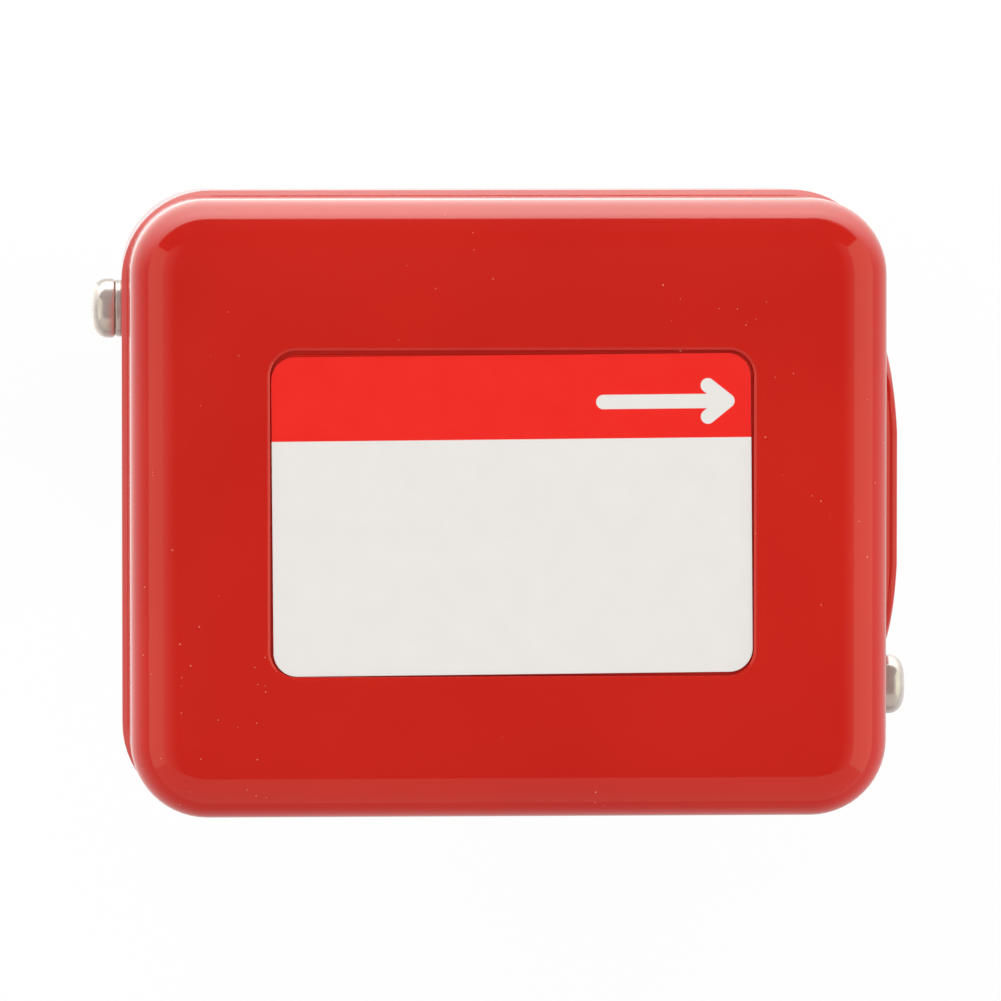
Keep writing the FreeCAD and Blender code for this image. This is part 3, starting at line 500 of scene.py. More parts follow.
def coverShell():
    low, high = span("cover")
    labelLow, labelHigh = span("label_plate")
    sizes, shift = coverPress, middleOf("label_plate")[:2]
    halfX, halfY, corner = high.x, high.y, sizes["corner"]
    wall, edge, rim = sizes["wall"], sizes["edge"], sizes["rim"]

    def skin(inset, radius, top, bottom, crowned=0.0):  # wall, round edge, then a slight crown
        rows = [(inset, bottom)]
        swept, crown = 90 - crowned, sizes["crown"]
        drop = crown * (1 - math.cos(math.radians(crowned)))
        centre = top - drop - radius * math.sin(math.radians(swept))
        for step in range(sizes["edgeSteps"] + 1):
            angle = math.radians(swept * step / sizes["edgeSteps"])
            rows.append((inset + radius * (1 - math.cos(angle)),
                         centre + radius * math.sin(angle)))
        start = rows[-1][0] + crown * math.sin(math.radians(crowned))
        for step in range(1, sizes["crownSteps"] + 1):
            angle = math.radians(crowned * (1 - step / sizes["crownSteps"]))
            rows.append((start - crown * math.sin(angle), top - crown * (1 - math.cos(angle))))
        return [insetRing(halfX, halfY, corner, inward, height, least=sizes["least"])
                for inward, height in rows]

    outside = skin(0, edge, high.z, low.z + rim, sizes["crownAngle"])
    cut = rim * sizes["rimCut"]
    rimRow = [insetRing(halfX, halfY, corner, inward, height)
              for inward, height in ((cut, low.z + cut), (rim, low.z))]
    lip, floor, groove = sizes["lip"], high.z - sizes["depth"], sizes["groove"]
    gapX, gapUp, gapDown = sizes["gaps"]
    wallX = (labelHigh.x - labelLow.x) / 2 + gapX
    wallY = (labelHigh.y - labelLow.y + gapUp + gapDown) / 2
    seat = (shift[0], shift[1] + (gapUp - gapDown) / 2)
    under = -gapX - sizes["undercut"]
    slope = softened([(lip * 2, high.z), (lip, high.z), (0, high.z - sizes["lipDrop"]),
                      (0, floor - groove), (under, floor - groove), (under, floor)],
                     sizes["lipRound"], 5)
    outside += [insetRing(wallX, wallY, sizes["recessCorner"], -outward, height, seat)
                for outward, height in slope[1:]]
    inside = skin(wall, edge - wall, high.z - wall, low.z)[:-sizes["crownSteps"]]
    recessX, recessY = sizes["recess"][0] / 2, sizes["recess"][1] / 2
    fall = sizes["backFall"]
    for grow, height in ((sizes["backSwell"], high.z - wall), (0, high.z - wall - fall),
                         (-fall, floor - wall)):
        inside.append(insetRing(recessX, recessY, sizes["recessCorner"],
                                -(wall + sizes["backing"] + grow), height, shift))
    return loft("coverShell", inside[::-1] + rimRow[::-1] + outside)


finish(coverShell(), "enamel", "lid", "red_paint", "cover", angle=50)

labelFilm = {"corner": 3.15, "edge": 0.06}


def labelPiece():
    low, high = span("label_plate")
    film = slab("labelFilm", (high.x - low.x) / 2, (high.y - low.y) / 2, labelFilm["corner"],
                low.z, high.z, labelFilm["edge"], middleOf("label_plate")[:2])
    middle = Matrix.Translation((low + high) / 2)
    film.data.transform(middle @ Matrix.Rotation(labelPrint["turn"], 4, "Z") @ middle.inverted())
    return film


finish(labelPiece(), "label", "lid", "label_film", "label_plate")
print("cover and label made")

past = 1.0  # how far a cutting tool or a hidden root reaches past a face
baseCast = {"corner": 12.1, "wall": 1.8, "edge": 5.0, "edgeSteps": 14, "floor": 2.5, "draft": 1.0,
            "rim": 0.25, "slope": 0.8, "slopeHeight": 1.4, "innerEdge": 0.8, "innerSteps": 4,
            "innerCorner": 0.5, "rows": (0.5, 0.9)}
entryPad = {"height": 20.0, "radius": 10.2, "wide": 46.0, "tall": 34.0, "corner": 14.0,
            "rise": 3.3, "crown": 183.0, "slope": 2.2, "footIn": 0.55, "footUp": 0.62,
            "footSteps": 10, "rows": (0.75, 0.5, 0.25, 0.05), "land": 12.2, "landRise": 3.05,
            "landDepth": 2.0, "boss": 14.0, "bossDepth": 1.7, "bossLength": 2.5, "bossEdge": 0.4,
            "flare": 1.6, "lead": 0.6}
entryScrew = {"pitch": 1.5, "depth": 0.75, "ends": 0.55, "proud": 0.05, "sunk": 0.02, "rows": 16,
              "fade": 0.7}
sideScrews = {"left": 25.9, "right": -25.5, "drop": 8.0, "hole": 2.2, "face": 4.7, "faceDepth": 0.1,
              "faceCut": 2.0, "holeIn": 4.0, "holeLength": 6.0, "reach": 10.5}
floorHoles = {"spacing": 36.0, "screw": 2.2, "spigot": 10.2, "spigotSteps": 64}
earthBoss = {"radius": 4.5, "height": 5.5, "hole": 2.03, "foot": 0.5, "footHeight": 0.6,
             "edge": 0.3}

baseSpan = span("base_housing")
entryZ = baseSpan[0].z + entryPad["height"]
screwZ = baseSpan[1].z - sideScrews["drop"]
footHalf = floorHoles["spacing"] / 2
footSpots = [(x, y) for x in (-footHalf, footHalf) for y in (-footHalf, footHalf)]


def endWall(height):  # the base's outer end wall at a height
    low, high = baseSpan
    return -low.x - (high.z - height) * math.tan(math.radians(baseCast["draft"]))


def trayRings(inset, bottom, edge, steps):
    low, high = baseSpan
    lean = math.tan(math.radians(baseCast["draft"]))
    rows = []
    for step in range(steps + 1):
        angle = math.radians(90 * step / steps)
        rows.append((edge * (1 - math.sin(angle)), bottom + edge * (1 - math.cos(angle))))
    rows += [(0, bottom + edge + (high.z - bottom - edge) * share) for share in baseCast["rows"]]
    return [insetRing(-low.x, high.y, baseCast["corner"],
                      inward + inset + (high.z - height) * lean, height,
                      least=baseCast["innerCorner"]) for inward, height in rows]


def baseTray():
    low, high = baseSpan
    wall, rim, tall = baseCast["wall"], baseCast["rim"], baseCast["slopeHeight"]
    outside = trayRings(0, low.z, baseCast["edge"], baseCast["edgeSteps"])
    inside = trayRings(wall, low.z + baseCast["floor"], baseCast["innerEdge"],
                       baseCast["innerSteps"])
    lean = tall * math.tan(math.radians(baseCast["draft"]))
    rows = softened([(lean * 2, high.z - tall * 2), (lean, high.z - tall),
                     (baseCast["slope"], high.z), (wall, high.z), (wall, high.z - rim * 2)], rim, 5)
    top = [insetRing(-low.x, high.y, baseCast["corner"], inward, height)
           for inward, height in rows]
    return loft("baseTray", outside + top + inside[::-1])


def aimAcross(piece, place):  # a quarter turn about Y, then moved
    piece.data.transform(Matrix.Translation(place) @ Matrix.Rotation(math.pi / 2, 4, "Y"))
    return piece


def crownedPad():  # along +X, its foot sunk in the wall
    sizes, slope = entryPad, entryPad["slope"]
    halfX, halfY, corner = sizes["tall"] / 2, sizes["wide"] / 2, sizes["corner"]
    foot = [(0, -past), (0, 0.0)]
    for step in range(sizes["footSteps"] + 1):
        angle = math.radians(90 * step / sizes["footSteps"])
        inward = sizes["footIn"] + (1 - sizes["footIn"]) * (1 - math.cos(angle))
        foot.append((slope * inward, sizes["footUp"] + (1 - sizes["footUp"]) * math.sin(angle)))
    layers = [(insetRing(halfX, halfY, corner, inward, 0), share) for inward, share in foot]
    layers += [(roundedRing((halfX - slope) * shrink, (halfY - slope) * shrink,
                            (corner - slope) * shrink, 0), 1.0) for shrink in sizes["rows"]]
    for ring, share in layers:
        for point in ring:
            crown = sizes["rise"] - point.y ** 2 / (2 * sizes["crown"])
            point.z = crown * share if share > 0 else share
    pad = loft("crownedPad", [ring for ring, share in layers])
    return aimAcross(pad, (endWall(entryZ), 0, entryZ))


def baseHousing():
    low, base = baseSpan[0], baseTray()
    carve(base, crownedPad(), "UNION")
    wall, along = endWall(entryZ), (1, 0, 0)
    inner = wall - baseCast["wall"] - entryPad["bossDepth"]
    outer = wall + entryPad["landRise"]
    boss = rod("entryBoss", entryPad["boss"], 0, entryPad["bossLength"], entryPad["bossEdge"])
    carve(base, aim(boss, along, (inner, 0, entryZ)), "UNION")
    land = rod("land", entryPad["land"], 0, entryPad["landDepth"])
    carve(base, aim(land, along, (outer, 0, entryZ)))
    mouth, lead = entryPad["radius"], entryPad["lead"]
    wide = mouth + entryPad["flare"]
    hole = turned("mouth", [(0, inner - past), (wide, inner - past), (mouth, inner + lead),
                            (mouth, outer - lead), (wide, outer + past), (0, outer + past)])
    carve(base, aim(hole, along, (0, 0, entryZ)))
    up, under, through = (0, 0, 1), low.z - past, baseCast["floor"] + 2 * past
    drill(base, floorHoles["spigot"], (0, 0, under), up, through, floorHoles["spigotSteps"])
    for x, y in footSpots:
        drill(base, floorHoles["screw"], (x, y, under), up, through, shankSteps)
    for side, across in ((-1, sideScrews["left"]), (1, sideScrews["right"])):
        seat = endWall(screwZ) - sideScrews["faceDepth"]
        drill(base, sideScrews["face"], (side * seat, across, screwZ), (side, 0, 0),
              sideScrews["faceCut"])
        drill(base, sideScrews["hole"], (side * (seat - sideScrews["holeIn"]), across, screwZ),
              (side, 0, 0), sideScrews["holeLength"], shankSteps)
    radius, foot = earthBoss["radius"], earthBoss["foot"]
    post = turned("earthPost", softened([(0, -past), (radius + foot, -past),
                                         (radius, earthBoss["footHeight"]),
                                         (radius, earthBoss["height"]),
                                         (earthBoss["hole"], earthBoss["height"]),
                                         (earthBoss["hole"], foot), (0, foot)],
                                        earthBoss["edge"]), drillSteps)
    place = (*middleOf("earth_washer")[:2], low.z + baseCast["floor"])
    carve(base, aim(post, up, place), "UNION")
    base.name = "baseHousing"
    return base


def wave(share):  # a thread's flank from crest 0 to root 1 and back, flats at both
    return min(1.0, max(0.0, 1.5 - abs(share - 0.5) * 4))


def threadRings(radius, depth, pitch, start, end, steps, rows, fade=1.0):  # rows in each pitch
    count = max(2, round((end - start) / pitch * rows))
    rings = []
    for row in range(count + 1):
        height = start + (end - start) * row / count
        reach = min(1.0, (height - start) / fade / pitch, (end - height) / fade / pitch)
        cut = depth * max(reach, 0.0)
        ring = circle(radius, height, steps)
        for step, point in enumerate(ring):
            share = (height / pitch - step / steps) % 1
            point.xy *= 1 - cut * wave(share) / radius
        rings.append(ring)
    return rings


def entryThread():  # the tapped sleeve inside the conduit entry
    wall, sizes, radius = endWall(entryZ), entryScrew, entryPad["radius"]
    start = wall - baseCast["wall"] - entryPad["bossDepth"] + sizes["ends"]
    end = wall + entryPad["landRise"] - sizes["ends"]
    rings = threadRings(radius - sizes["proud"], sizes["depth"], sizes["pitch"], start, end,
                        turnSteps, sizes["rows"], sizes["fade"])
    outer = radius + sizes["sunk"]
    sleeve = loft("entryThread", [circle(outer, start)] + rings + [circle(outer, end)], looped=True)
    return aim(sleeve, (1, 0, 0), (0, 0, entryZ))


finish(baseHousing(), "enamel", "housing", "red_paint", "base_housing", angle=38)
finish(entryThread(), "enamel", "housing", "red_paint", angle=30)

lidSeal = {"setback": 0.45, "width": 1.15, "corner": 10.2, "bulge": 0.1}


def coverSeal():
    low, high = span("cover_gasket")
    width, corner = lidSeal["width"], lidSeal["corner"] - lidSeal["setback"]
    rows = ((0, low.z), (-lidSeal["bulge"], (low.z + high.z) / 2), (0, high.z), (width, high.z),
            (width, low.z))
    return loft("coverSeal", [insetRing(high.x, high.y, corner, inward, height)
                              for inward, height in rows], looped=True)


finish(coverSeal(), "rubber", "housing", "black_rubber", "cover_gasket")
print("base housing made")

brassTurning = {"thread": 16.62, "pitch": 2.309, "threadDepth": 1.48, "threadRows": 24,
                "threadFade": 0.8, "threadLow": 0.6, "threadHigh": -1.2, "nose": (2.2, 1.6, 0.5),
                "rootIn": 1.33, "rootLow": -0.9, "rootHigh": 0.8, "hexFlats": 41.0,
                "hexHeight": 13.0, "hexInset": 0.4, "hexDrop": 0.2, "hexSteps": 108, "ease": 0.18,
                "easeAngle": 24,
                "neck": 17.5, "neckHeight": 2.0, "flangeCorner": 7.0, "flangeHeight": 4.0,
                "flangeEdge": 0.35, "spigot": 10.0, "spigotEdge": 0.3, "bore": 9.0,
                "boreFlare": 1.2, "boreLead": 0.9, "topBore": 6.6, "topBoreLength": 11.5}


def hexagon(name, flats, height, inset, slope, drop, steps):  # its corners turned off at both ends
    reach = flats / math.sqrt(3)
    grip = loft(name, [circle(reach, level, 6) for level in (0, height)])
    face, bevel = flats / 2 - inset, (reach - flats / 2) * slope + drop
    carve(grip, turned("limit", [(0, 0), (face, 0), (reach, bevel), (reach, height - bevel),
                                 (face, height), (0, height)], steps), "INTERSECT")
    return grip


def brassBody():
    low, high = span("brass_body")
    sizes, top = brassTurning, brassTurning["hexHeight"]
    grip = hexagon("brassBody", sizes["hexFlats"], top, sizes["hexInset"],
                   math.tan(math.radians(30)), sizes["hexDrop"], sizes["hexSteps"])
    ease(grip, sizes["ease"], sizes["easeAngle"])
    neckTop = top + sizes["neckHeight"]
    flangeTop = neckTop + sizes["flangeHeight"]
    carve(grip, rod("neck", sizes["neck"], top - past, neckTop + past), "UNION")
    carve(grip, slab("flange", high.x, high.y, sizes["flangeCorner"], neckTop, flangeTop,
                     sizes["flangeEdge"]), "UNION")
    carve(grip, rod("spigot", sizes["spigot"], flangeTop - past, high.z, sizes["spigotEdge"]),
          "UNION")
    radius, root = sizes["thread"], sizes["thread"] - sizes["rootIn"]
    tipIn, shoulderIn, shoulder = sizes["nose"]
    nose = ((nearAxis, low.z), (radius - tipIn, low.z), (radius - shoulderIn, low.z + shoulder))
    end = ((root, sizes["rootLow"]), (root, sizes["rootHigh"]), (nearAxis, sizes["rootHigh"]))
    thread = threadRings(radius, sizes["threadDepth"], sizes["pitch"], low.z + sizes["threadLow"],
                         sizes["threadHigh"], fineSteps, sizes["threadRows"], sizes["threadFade"])
    carve(grip, loft("nipple", [circle(*point, fineSteps) for point in nose] + thread
                     + [circle(*point, fineSteps) for point in end]), "UNION")
    step, wide = high.z - sizes["topBoreLength"], sizes["bore"] + sizes["boreFlare"]
    carve(grip, turned("bore", [(0, low.z - past), (wide, low.z - past),
                                (sizes["bore"], low.z + sizes["boreLead"]), (sizes["bore"], step),
                                (sizes["topBore"], step), (sizes["topBore"], high.z + past),
                                (0, high.z + past)]))
    return grip


finish(brassBody(), "brass", "housing", "brass", "brass_body", angle=30)

flangeSeal = {"setback": 0.05, "corner": 7.0, "edge": 0.12}
low, high = span("body_gasket")
seal = slab("bodySeal", high.x - flangeSeal["setback"], high.y - flangeSeal["setback"],
            flangeSeal["corner"], low.z, high.z, flangeSeal["edge"])
drill(seal, floorHoles["spigot"], (0, 0, low.z - past), (0, 0, 1), 3 * past,
      floorHoles["spigotSteps"])
finish(seal, "gasket", "housing", "fibre_gasket", "body_gasket")
print("brass body made")


def startTree(name, result, **inputs):  # its nodes, its input sockets and where its result goes
    tree = bpy.data.node_groups.new(name, "GeometryNodeTree")
    for label, kind in inputs.items():
        tree.interface.new_socket(name=label, in_out="INPUT", socket_type="NodeSocket" + kind)
    tree.interface.new_socket(name=result, in_out="OUTPUT", socket_type="NodeSocketGeometry")
    nodes = tree.nodes
    return (tree, nodes, nodes.new("NodeGroupInput").outputs,
            nodes.new("NodeGroupOutput").inputs[result])


def endTree(nodes, shape, look, result):  # the shape made real and given its material
    real = nodes.new("GeometryNodeRealizeInstances")
    dress = nodes.new("GeometryNodeSetMaterial")
    link(shape, real.inputs["Geometry"], real.outputs["Geometry"], dress.inputs["Geometry"],
         look, dress.inputs["Material"], dress.outputs["Geometry"], result)


def grow(holder, tree, **settings):  # a tree's result, its inputs set by their identifiers
    change = holder.modifiers.new("grow", "NODES")
    change.node_group = tree
    for item in tree.interface.items_tree:
        if item.in_out == "INPUT" and item.name in settings:
            change[item.identifier] = settings[item.name]
    bake(holder)


def placerTree():  # a piece stood on every point of a mesh, its +Z along the point's aim
    tree, nodes, given, result = startTree("placeOnPoints", "Placed", Points="Geometry",
                                           Piece="Object", Spin="Float", Finish="Material")
    piece = nodes.new("GeometryNodeObjectInfo")
    piece.inputs["As Instance"].default_value = True
    aimed = nodes.new("GeometryNodeInputNamedAttribute")
    aimed.data_type = "FLOAT_VECTOR"
    aimed.inputs["Name"].default_value = "aim"
    turn = nodes.new("FunctionNodeAlignRotationToVector")
    turn.axis = "Z"
    index = nodes.new("GeometryNodeInputIndex")
    axis = nodes.new("FunctionNodeAxisAngleToRotation")
    axis.inputs["Axis"].default_value = (0, 0, 1)
    both = nodes.new("FunctionNodeRotateRotation")
    both.rotation_space = "LOCAL"
    place = nodes.new("GeometryNodeInstanceOnPoints")
    link(given["Piece"], piece.inputs["Object"], aimed.outputs["Attribute"], turn.inputs["Vector"],
         calculate("MULTIPLY", index.outputs["Index"], given["Spin"]), axis.inputs["Angle"],
         turn.outputs["Rotation"], both.inputs["Rotation"],
         axis.outputs["Rotation"], both.inputs["Rotate By"],
         given["Points"], place.inputs["Points"], piece.outputs["Geometry"],
         place.inputs["Instance"], both.outputs["Rotation"], place.inputs["Rotation"])
    endTree(nodes, place.outputs["Instances"], given["Finish"], result)
    return tree


placer = placerTree()


def stand(name, piece, look, body, slot, node, spots, spin=0.7):  # spots of (place, direction)
    holder = shown(name, plainMesh(name, [place for place, direction in spots]))
    aims = holder.data.attributes.new("aim", "FLOAT_VECTOR", "POINT")
    for index, (place, direction) in enumerate(spots):
        aims.data[index].vector = direction
    shade(piece)
    grow(holder, placer, Piece=piece, Spin=spin, Finish=finishes[look])
    bpy.data.objects.remove(piece)
    finish(holder, look, body, slot, node)


panScrew = {"radius": 2.0, "head": 4.0, "height": 3.1, "flat": 0.42, "side": 0.36,
            "crownSteps": 12, "under": ((0.4, 0), (0.12, 0.12), (0, 0.4)), "cross": 1.05,
            "crossDepth": 1.5, "armLength": 1.75, "armWidth": 0.42, "armTaper": 0.55,
            "armTop": 1.2, "pitch": 0.7, "thread": 0.32, "rows": 5, "root": 0.8, "tip": 0.5,
            "runIn": 0.15, "runOut": 0.1, "chamfer": 0.3, "overlap": 0.05}


def threadedRod(name, radius, foot, start, end, rows, *top):  # foot and top as (radius, height)
    rings = [circle(nearAxis, foot[1], shankSteps), circle(*foot, shankSteps)]
    rings += threadRings(radius, panScrew["thread"], panScrew["pitch"], start, end, shankSteps,
                         rows)
    rings += [circle(*point, shankSteps) for point in top]
    rings.append(circle(nearAxis, rings[-1][0].z, shankSteps))
    return loft(name, rings)


def crossArm(height, turn):
    sizes = panScrew
    length, deep = sizes["cross"] * sizes["armLength"], 1 - sizes["crossDepth"] / height
    arm = loft("arm", [oblong(scale * length, sizes["armWidth"], height * level)
                       for scale, level in ((sizes["armTaper"], deep), (1.0, sizes["armTop"]))])
    arm.data.transform(Matrix.Rotation(math.radians(turn), 4, "Z"))
    return arm


def domedScrew(reach, head=panScrew["head"], height=panScrew["height"], threaded=True):
    sizes, radius, steps = panScrew, panScrew["radius"], panScrew["crownSteps"]
    crown = [(head - inward, level) for inward, level in sizes["under"]]
    for step in range(steps + 1):
        angle = math.radians(90 * step / steps)
        crown.append((head * (sizes["flat"] + (1 - sizes["flat"]) * math.cos(angle))
                      if step < steps else 0,
                      height * (sizes["side"] + (1 - sizes["side"]) * math.sin(angle))))
    root = -sizes["root"]
    body = turned("screwHead", [(0, root), (radius, root), (radius, 0)] + crown, headSteps)
    cross = crossArm(height, 0)
    carve(cross, crossArm(height, 90), "UNION")
    carve(body, cross)
    if threaded:
        run = sizes["runOut"]
        join(body, threadedRod("shank", radius, (radius - sizes["tip"], -reach),
                               -reach + sizes["runIn"], root - run, sizes["rows"],
                               (radius, root + run)))
    else:
        cut, top = sizes["chamfer"], root + sizes["overlap"]
        join(body, turned("shank", [(0, -reach), (radius - cut, -reach), (radius, -reach + cut),
                                    (radius, top), (0, top)], shankSteps))
    return body


def onSides(x, facing=1):  # spots on both end walls, facing outwards or inwards
    return [((side * x, across, screwZ), (side * facing, 0, 0))
            for side, across in ((-1, sideScrews["left"]), (1, sideScrews["right"]))]


sideRing = {"thick": 1.0, "setback": 0.15, "hole": 2.2, "edge": 0.3}
seatX = span("cover_screw_washers")[1].x
stand("sideScrews", domedScrew(sideScrews["reach"]), "bright", "housing", "bright_screw",
      "cover_screws", onSides(seatX))
stand("sideWashers", bored("ring", panScrew["head"] - sideRing["setback"], sideRing["hole"], 0,
                           sideRing["thick"], sideRing["edge"], headSteps),
      "bright", "housing", "bright_screw", "cover_screw_washers",
      onSides(seatX - sideRing["thick"]))

hexNut = {"flats": 7.0, "height": 3.2, "hole": 2.05, "lead": 0.45, "leadDepth": 0.4,
          "leadOut": 0.1, "toolOut": 0.5, "inset": 0.1, "slope": 0.6, "holeSteps": 32}


def nutShape(height=hexNut["height"]):
    sizes, hole, wide = hexNut, hexNut["hole"], hexNut["hole"] + hexNut["lead"]
    nut = hexagon("nut", sizes["flats"], height, sizes["inset"], sizes["slope"], 0, headSteps)
    rows = [(0, -sizes["toolOut"]), (wide, -sizes["leadOut"]), (hole, sizes["leadDepth"])]
    rows += [(radius, height - level) for radius, level in rows[::-1]]
    carve(nut, turned("tool", rows, sizes["holeSteps"]))
    return nut


stand("sideNuts", nutShape(), "zinc", "housing", "zinc_plate", "cover_screw_nuts",
      onSides(span("cover_screw_nuts")[1].x, -1), 0.0)

low, high = span("body_screws")
seat = high.z - panScrew["height"]
stand("bodyScrews", domedScrew(seat - low.z, threaded=False), "zinc", "housing", "zinc_plate",
      "body_screws", [((x, y, seat), (0, 0, 1)) for x, y in footSpots])

switchHoles = {"spacing": 25.4, "head": 3.1}
low, high = span("switch_screws")
middle = middleOf("switch_screws")
seat = high.y - switchHoles["head"]
stand("switchScrews", domedScrew(seat - low.y, threaded=False), "zinc", "housing", "zinc_plate",
      "switch_screws", [((middle[0] + side * switchHoles["spacing"] / 2, seat, middle[2]),
                         (0, 1, 0)) for side in (-1, 1)])

terminalScrew = {"head": 3.2, "height": 2.4, "reach": 6.2, "shelf": 7.0, "spacing": 19.0}
low, high = span("terminal_screws")
seat, rightX = high.z - terminalScrew["height"], high.x - terminalScrew["head"]
stand("terminalScrews", domedScrew(terminalScrew["reach"], terminalScrew["head"],
                                   terminalScrew["height"], False),
      "brass", "housing", "zinc_plate", "terminal_screws",
      [((x, (low.y + high.y) / 2, z), (0, 0, 1)) for x, z in
       ((rightX, seat), (rightX - terminalScrew["spacing"], seat),
        (low.x + terminalScrew["head"], seat - terminalScrew["shelf"]))])

clampSpread = 12.0
low, high = span("paddle_screws")
clampZ = middleOf("paddle_screws")[2]
seat = low.x + panScrew["height"]
stand("paddleScrews", domedScrew(high.x - seat), "stainless", "lever", "stainless",
      "paddle_screws", [((seat, side * clampSpread / 2, clampZ), (-1, 0, 0)) for side in (-1, 1)])

earthHead = 3.2
low, high = span("earth_screw")
seat = high.z - panScrew["height"]
stand("earthScrew", domedScrew(seat - low.z, earthHead, threaded=False), "brass", "housing",
      "zinc_plate", "earth_screw", [((*middleOf("earth_screw")[:2], seat), (0, 0, 1))])
print("screws placed")

bellowsFold = {"folds": 5, "pitch": 1.9, "inner": 4.2, "outer": 7.8, "wall": 0.35, "foot": 9.8,
               "footHeight": 0.6, "footRound": 0.1, "foldSteps": 16, "fullness": 0.6,
               "ringWall": 1.5, "ringEdge": 0.25, "capHole": 2.53, "capEdge": 0.3}


def foldedBellows():
    low, sizes = span("bellows")[0], bellowsFold
    start, half = low.z + sizes["footHeight"], sizes["wall"] / 2
    middle = (sizes["inner"] + sizes["outer"]) / 2
    swing = (sizes["outer"] - sizes["inner"] - sizes["wall"]) / 2
    outside, inside = [(sizes["foot"], low.z), (sizes["foot"], start - sizes["footRound"])], []
    for step in range(sizes["folds"] * sizes["foldSteps"] + 1):
        share = step / sizes["foldSteps"]
        height = start + share * sizes["pitch"]
        swell = math.cos(2 * math.pi * share)
        reach = middle - swing * math.copysign(abs(swell) ** sizes["fullness"], swell)
        outside.append((reach + half, height))
        inside.append((reach - half, height))
    return turned("foldedBellows", outside + inside[::-1] + [(sizes["inner"], low.z)], looped=True)


bellows = finish(foldedBellows(), "bronze", "", "bronze", "bellows", angle=50)
low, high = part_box("bellows")
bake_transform(bellows)

low, high = span("bellows_ring")
finish(bored("bellowsRing", high.x, high.x - bellowsFold["ringWall"], low.z, high.z,
             bellowsFold["ringEdge"]), "brass", "housing", "brass", "bellows_ring")
low, high = span("bellows_cap")
finish(bored("bellowsCap", high.x, bellowsFold["capHole"], low.z, high.z, bellowsFold["capEdge"]),
       "brass", "lever", "brass", "bellows_cap")

rodTurning = {"radius": 2.5, "head": 4.5, "headHeight": 7.0, "stud": 2.0, "studHeight": 5.2,
              "studRoot": 0.4, "studSlack": 0.01, "runIn": 0.1, "rows": 6, "edge": 0.35,
              "hole": 1.55, "pivotDrop": 4.0, "drill": 6.0, "pin": 1.5}


def leverRod():
    low, high = span("lever_rod")
    sizes, stud, edge = rodTurning, rodTurning["stud"], rodTurning["edge"]
    shoulder = high.z - sizes["studHeight"]
    start, root = shoulder - sizes["headHeight"], shoulder + sizes["studRoot"]
    profile = [(0, low.z), (sizes["radius"], low.z), (sizes["radius"], start),
               (sizes["head"], start), (sizes["head"], shoulder), (stud, shoulder), (stud, root),
               (0, root)]
    piece = turned("leverRod", softened(profile, edge))
    drill(piece, sizes["hole"], (0, -sizes["drill"], shoulder - sizes["pivotDrop"]), (0, 1, 0),
          2 * sizes["drill"])
    join(piece, threadedRod("stud", stud - sizes["studSlack"], (stud - edge, shoulder),
                            shoulder + sizes["runIn"], high.z, sizes["rows"]))
    return piece


finish(leverRod(), "stainless", "lever", "stainless", "lever_rod")
low, high = span("lever_nut")
finish(aim(nutShape(high.z - low.z), (0, 0, 1), (0, 0, low.z)), "zinc", "lever", "zinc_plate",
       "lever_nut")

low, high = span("pivot_pin")
pin = rod("pivotPin", rodTurning["pin"], low.y, high.y, rodTurning["edge"], drillSteps)
finish(aim(pin, (0, 1, 0), (0, 0, middleOf("pivot_pin")[2])), "stainless", "housing", "stainless",
       "pivot_pin")

bladeSheet = {"corner": 4.0, "edge": 0.08, "hole": 2.2}


def blade(node, name):
    low, high = span(node)
    sheet = slab(name, (high.z - low.z) / 2, high.y, bladeSheet["corner"], 0, high.x - low.x,
                 bladeSheet["edge"])
    aimAcross(sheet, (low.x, 0, (low.z + high.z) / 2))
    for side in (-1, 1):
        drill(sheet, bladeSheet["hole"], (low.x - past, side * clampSpread / 2, clampZ), (1, 0, 0),
              3 * past, shankSteps)
    return sheet


for node in ("paddle_short", "paddle_medium", "paddle_long"):
    finish(blade(node, node.split("_")[1] + "Blade"), "stainless", "lever", "stainless", node)
print("lever and paddles made")

# CAD shapes that only have their edges eased: look, body, slot and width of the rounding
easedParts = {"paddle_clamp": ("stainless", "lever", "stainless", 0.35),
              "clamp_bar": ("stainless", "lever", "stainless", 0.2),
              "mechanism_bracket": ("zinc", "housing", "zinc_plate", 0.14),
              "main_lever": ("zinc", "lever", "zinc_plate", 0.12),
              "cover_lugs": ("zinc", "lid", "zinc_plate", 0.12),
              "pivot_clips": ("spring", "housing", "spring_steel", 0.06),
              "range_nut": ("brass", "spring_seat", "brass", 0.18),
              "switch_case": ("black", "housing", "dark_moulding", 0.25),
              "switch_side_plate": ("black", "housing", "dark_moulding", 0.12),
              "switch_plunger": ("cream", "plunger", "button_plastic", 0.0),
              "insulation_sheet": ("fibre", "housing", "fibre_sheet", 0.05),
              "terminals": ("brass", "housing", "brass", 0.12),
              "earth_washer": ("brass", "housing", "zinc_plate", 0.08)}
for node, (look, body, slot, width) in easedParts.items():
    finish(eased(node, width), look, body, slot, node)

rangeTurning = {"radius": 2.0, "head": 3.5, "headHeight": 2.8, "headRoot": 1.5, "edge": 0.3,
                "slot": 1.0, "slotDepth": 1.3, "slotHalf": 6.0, "runIn": 0.2, "rows": 6}


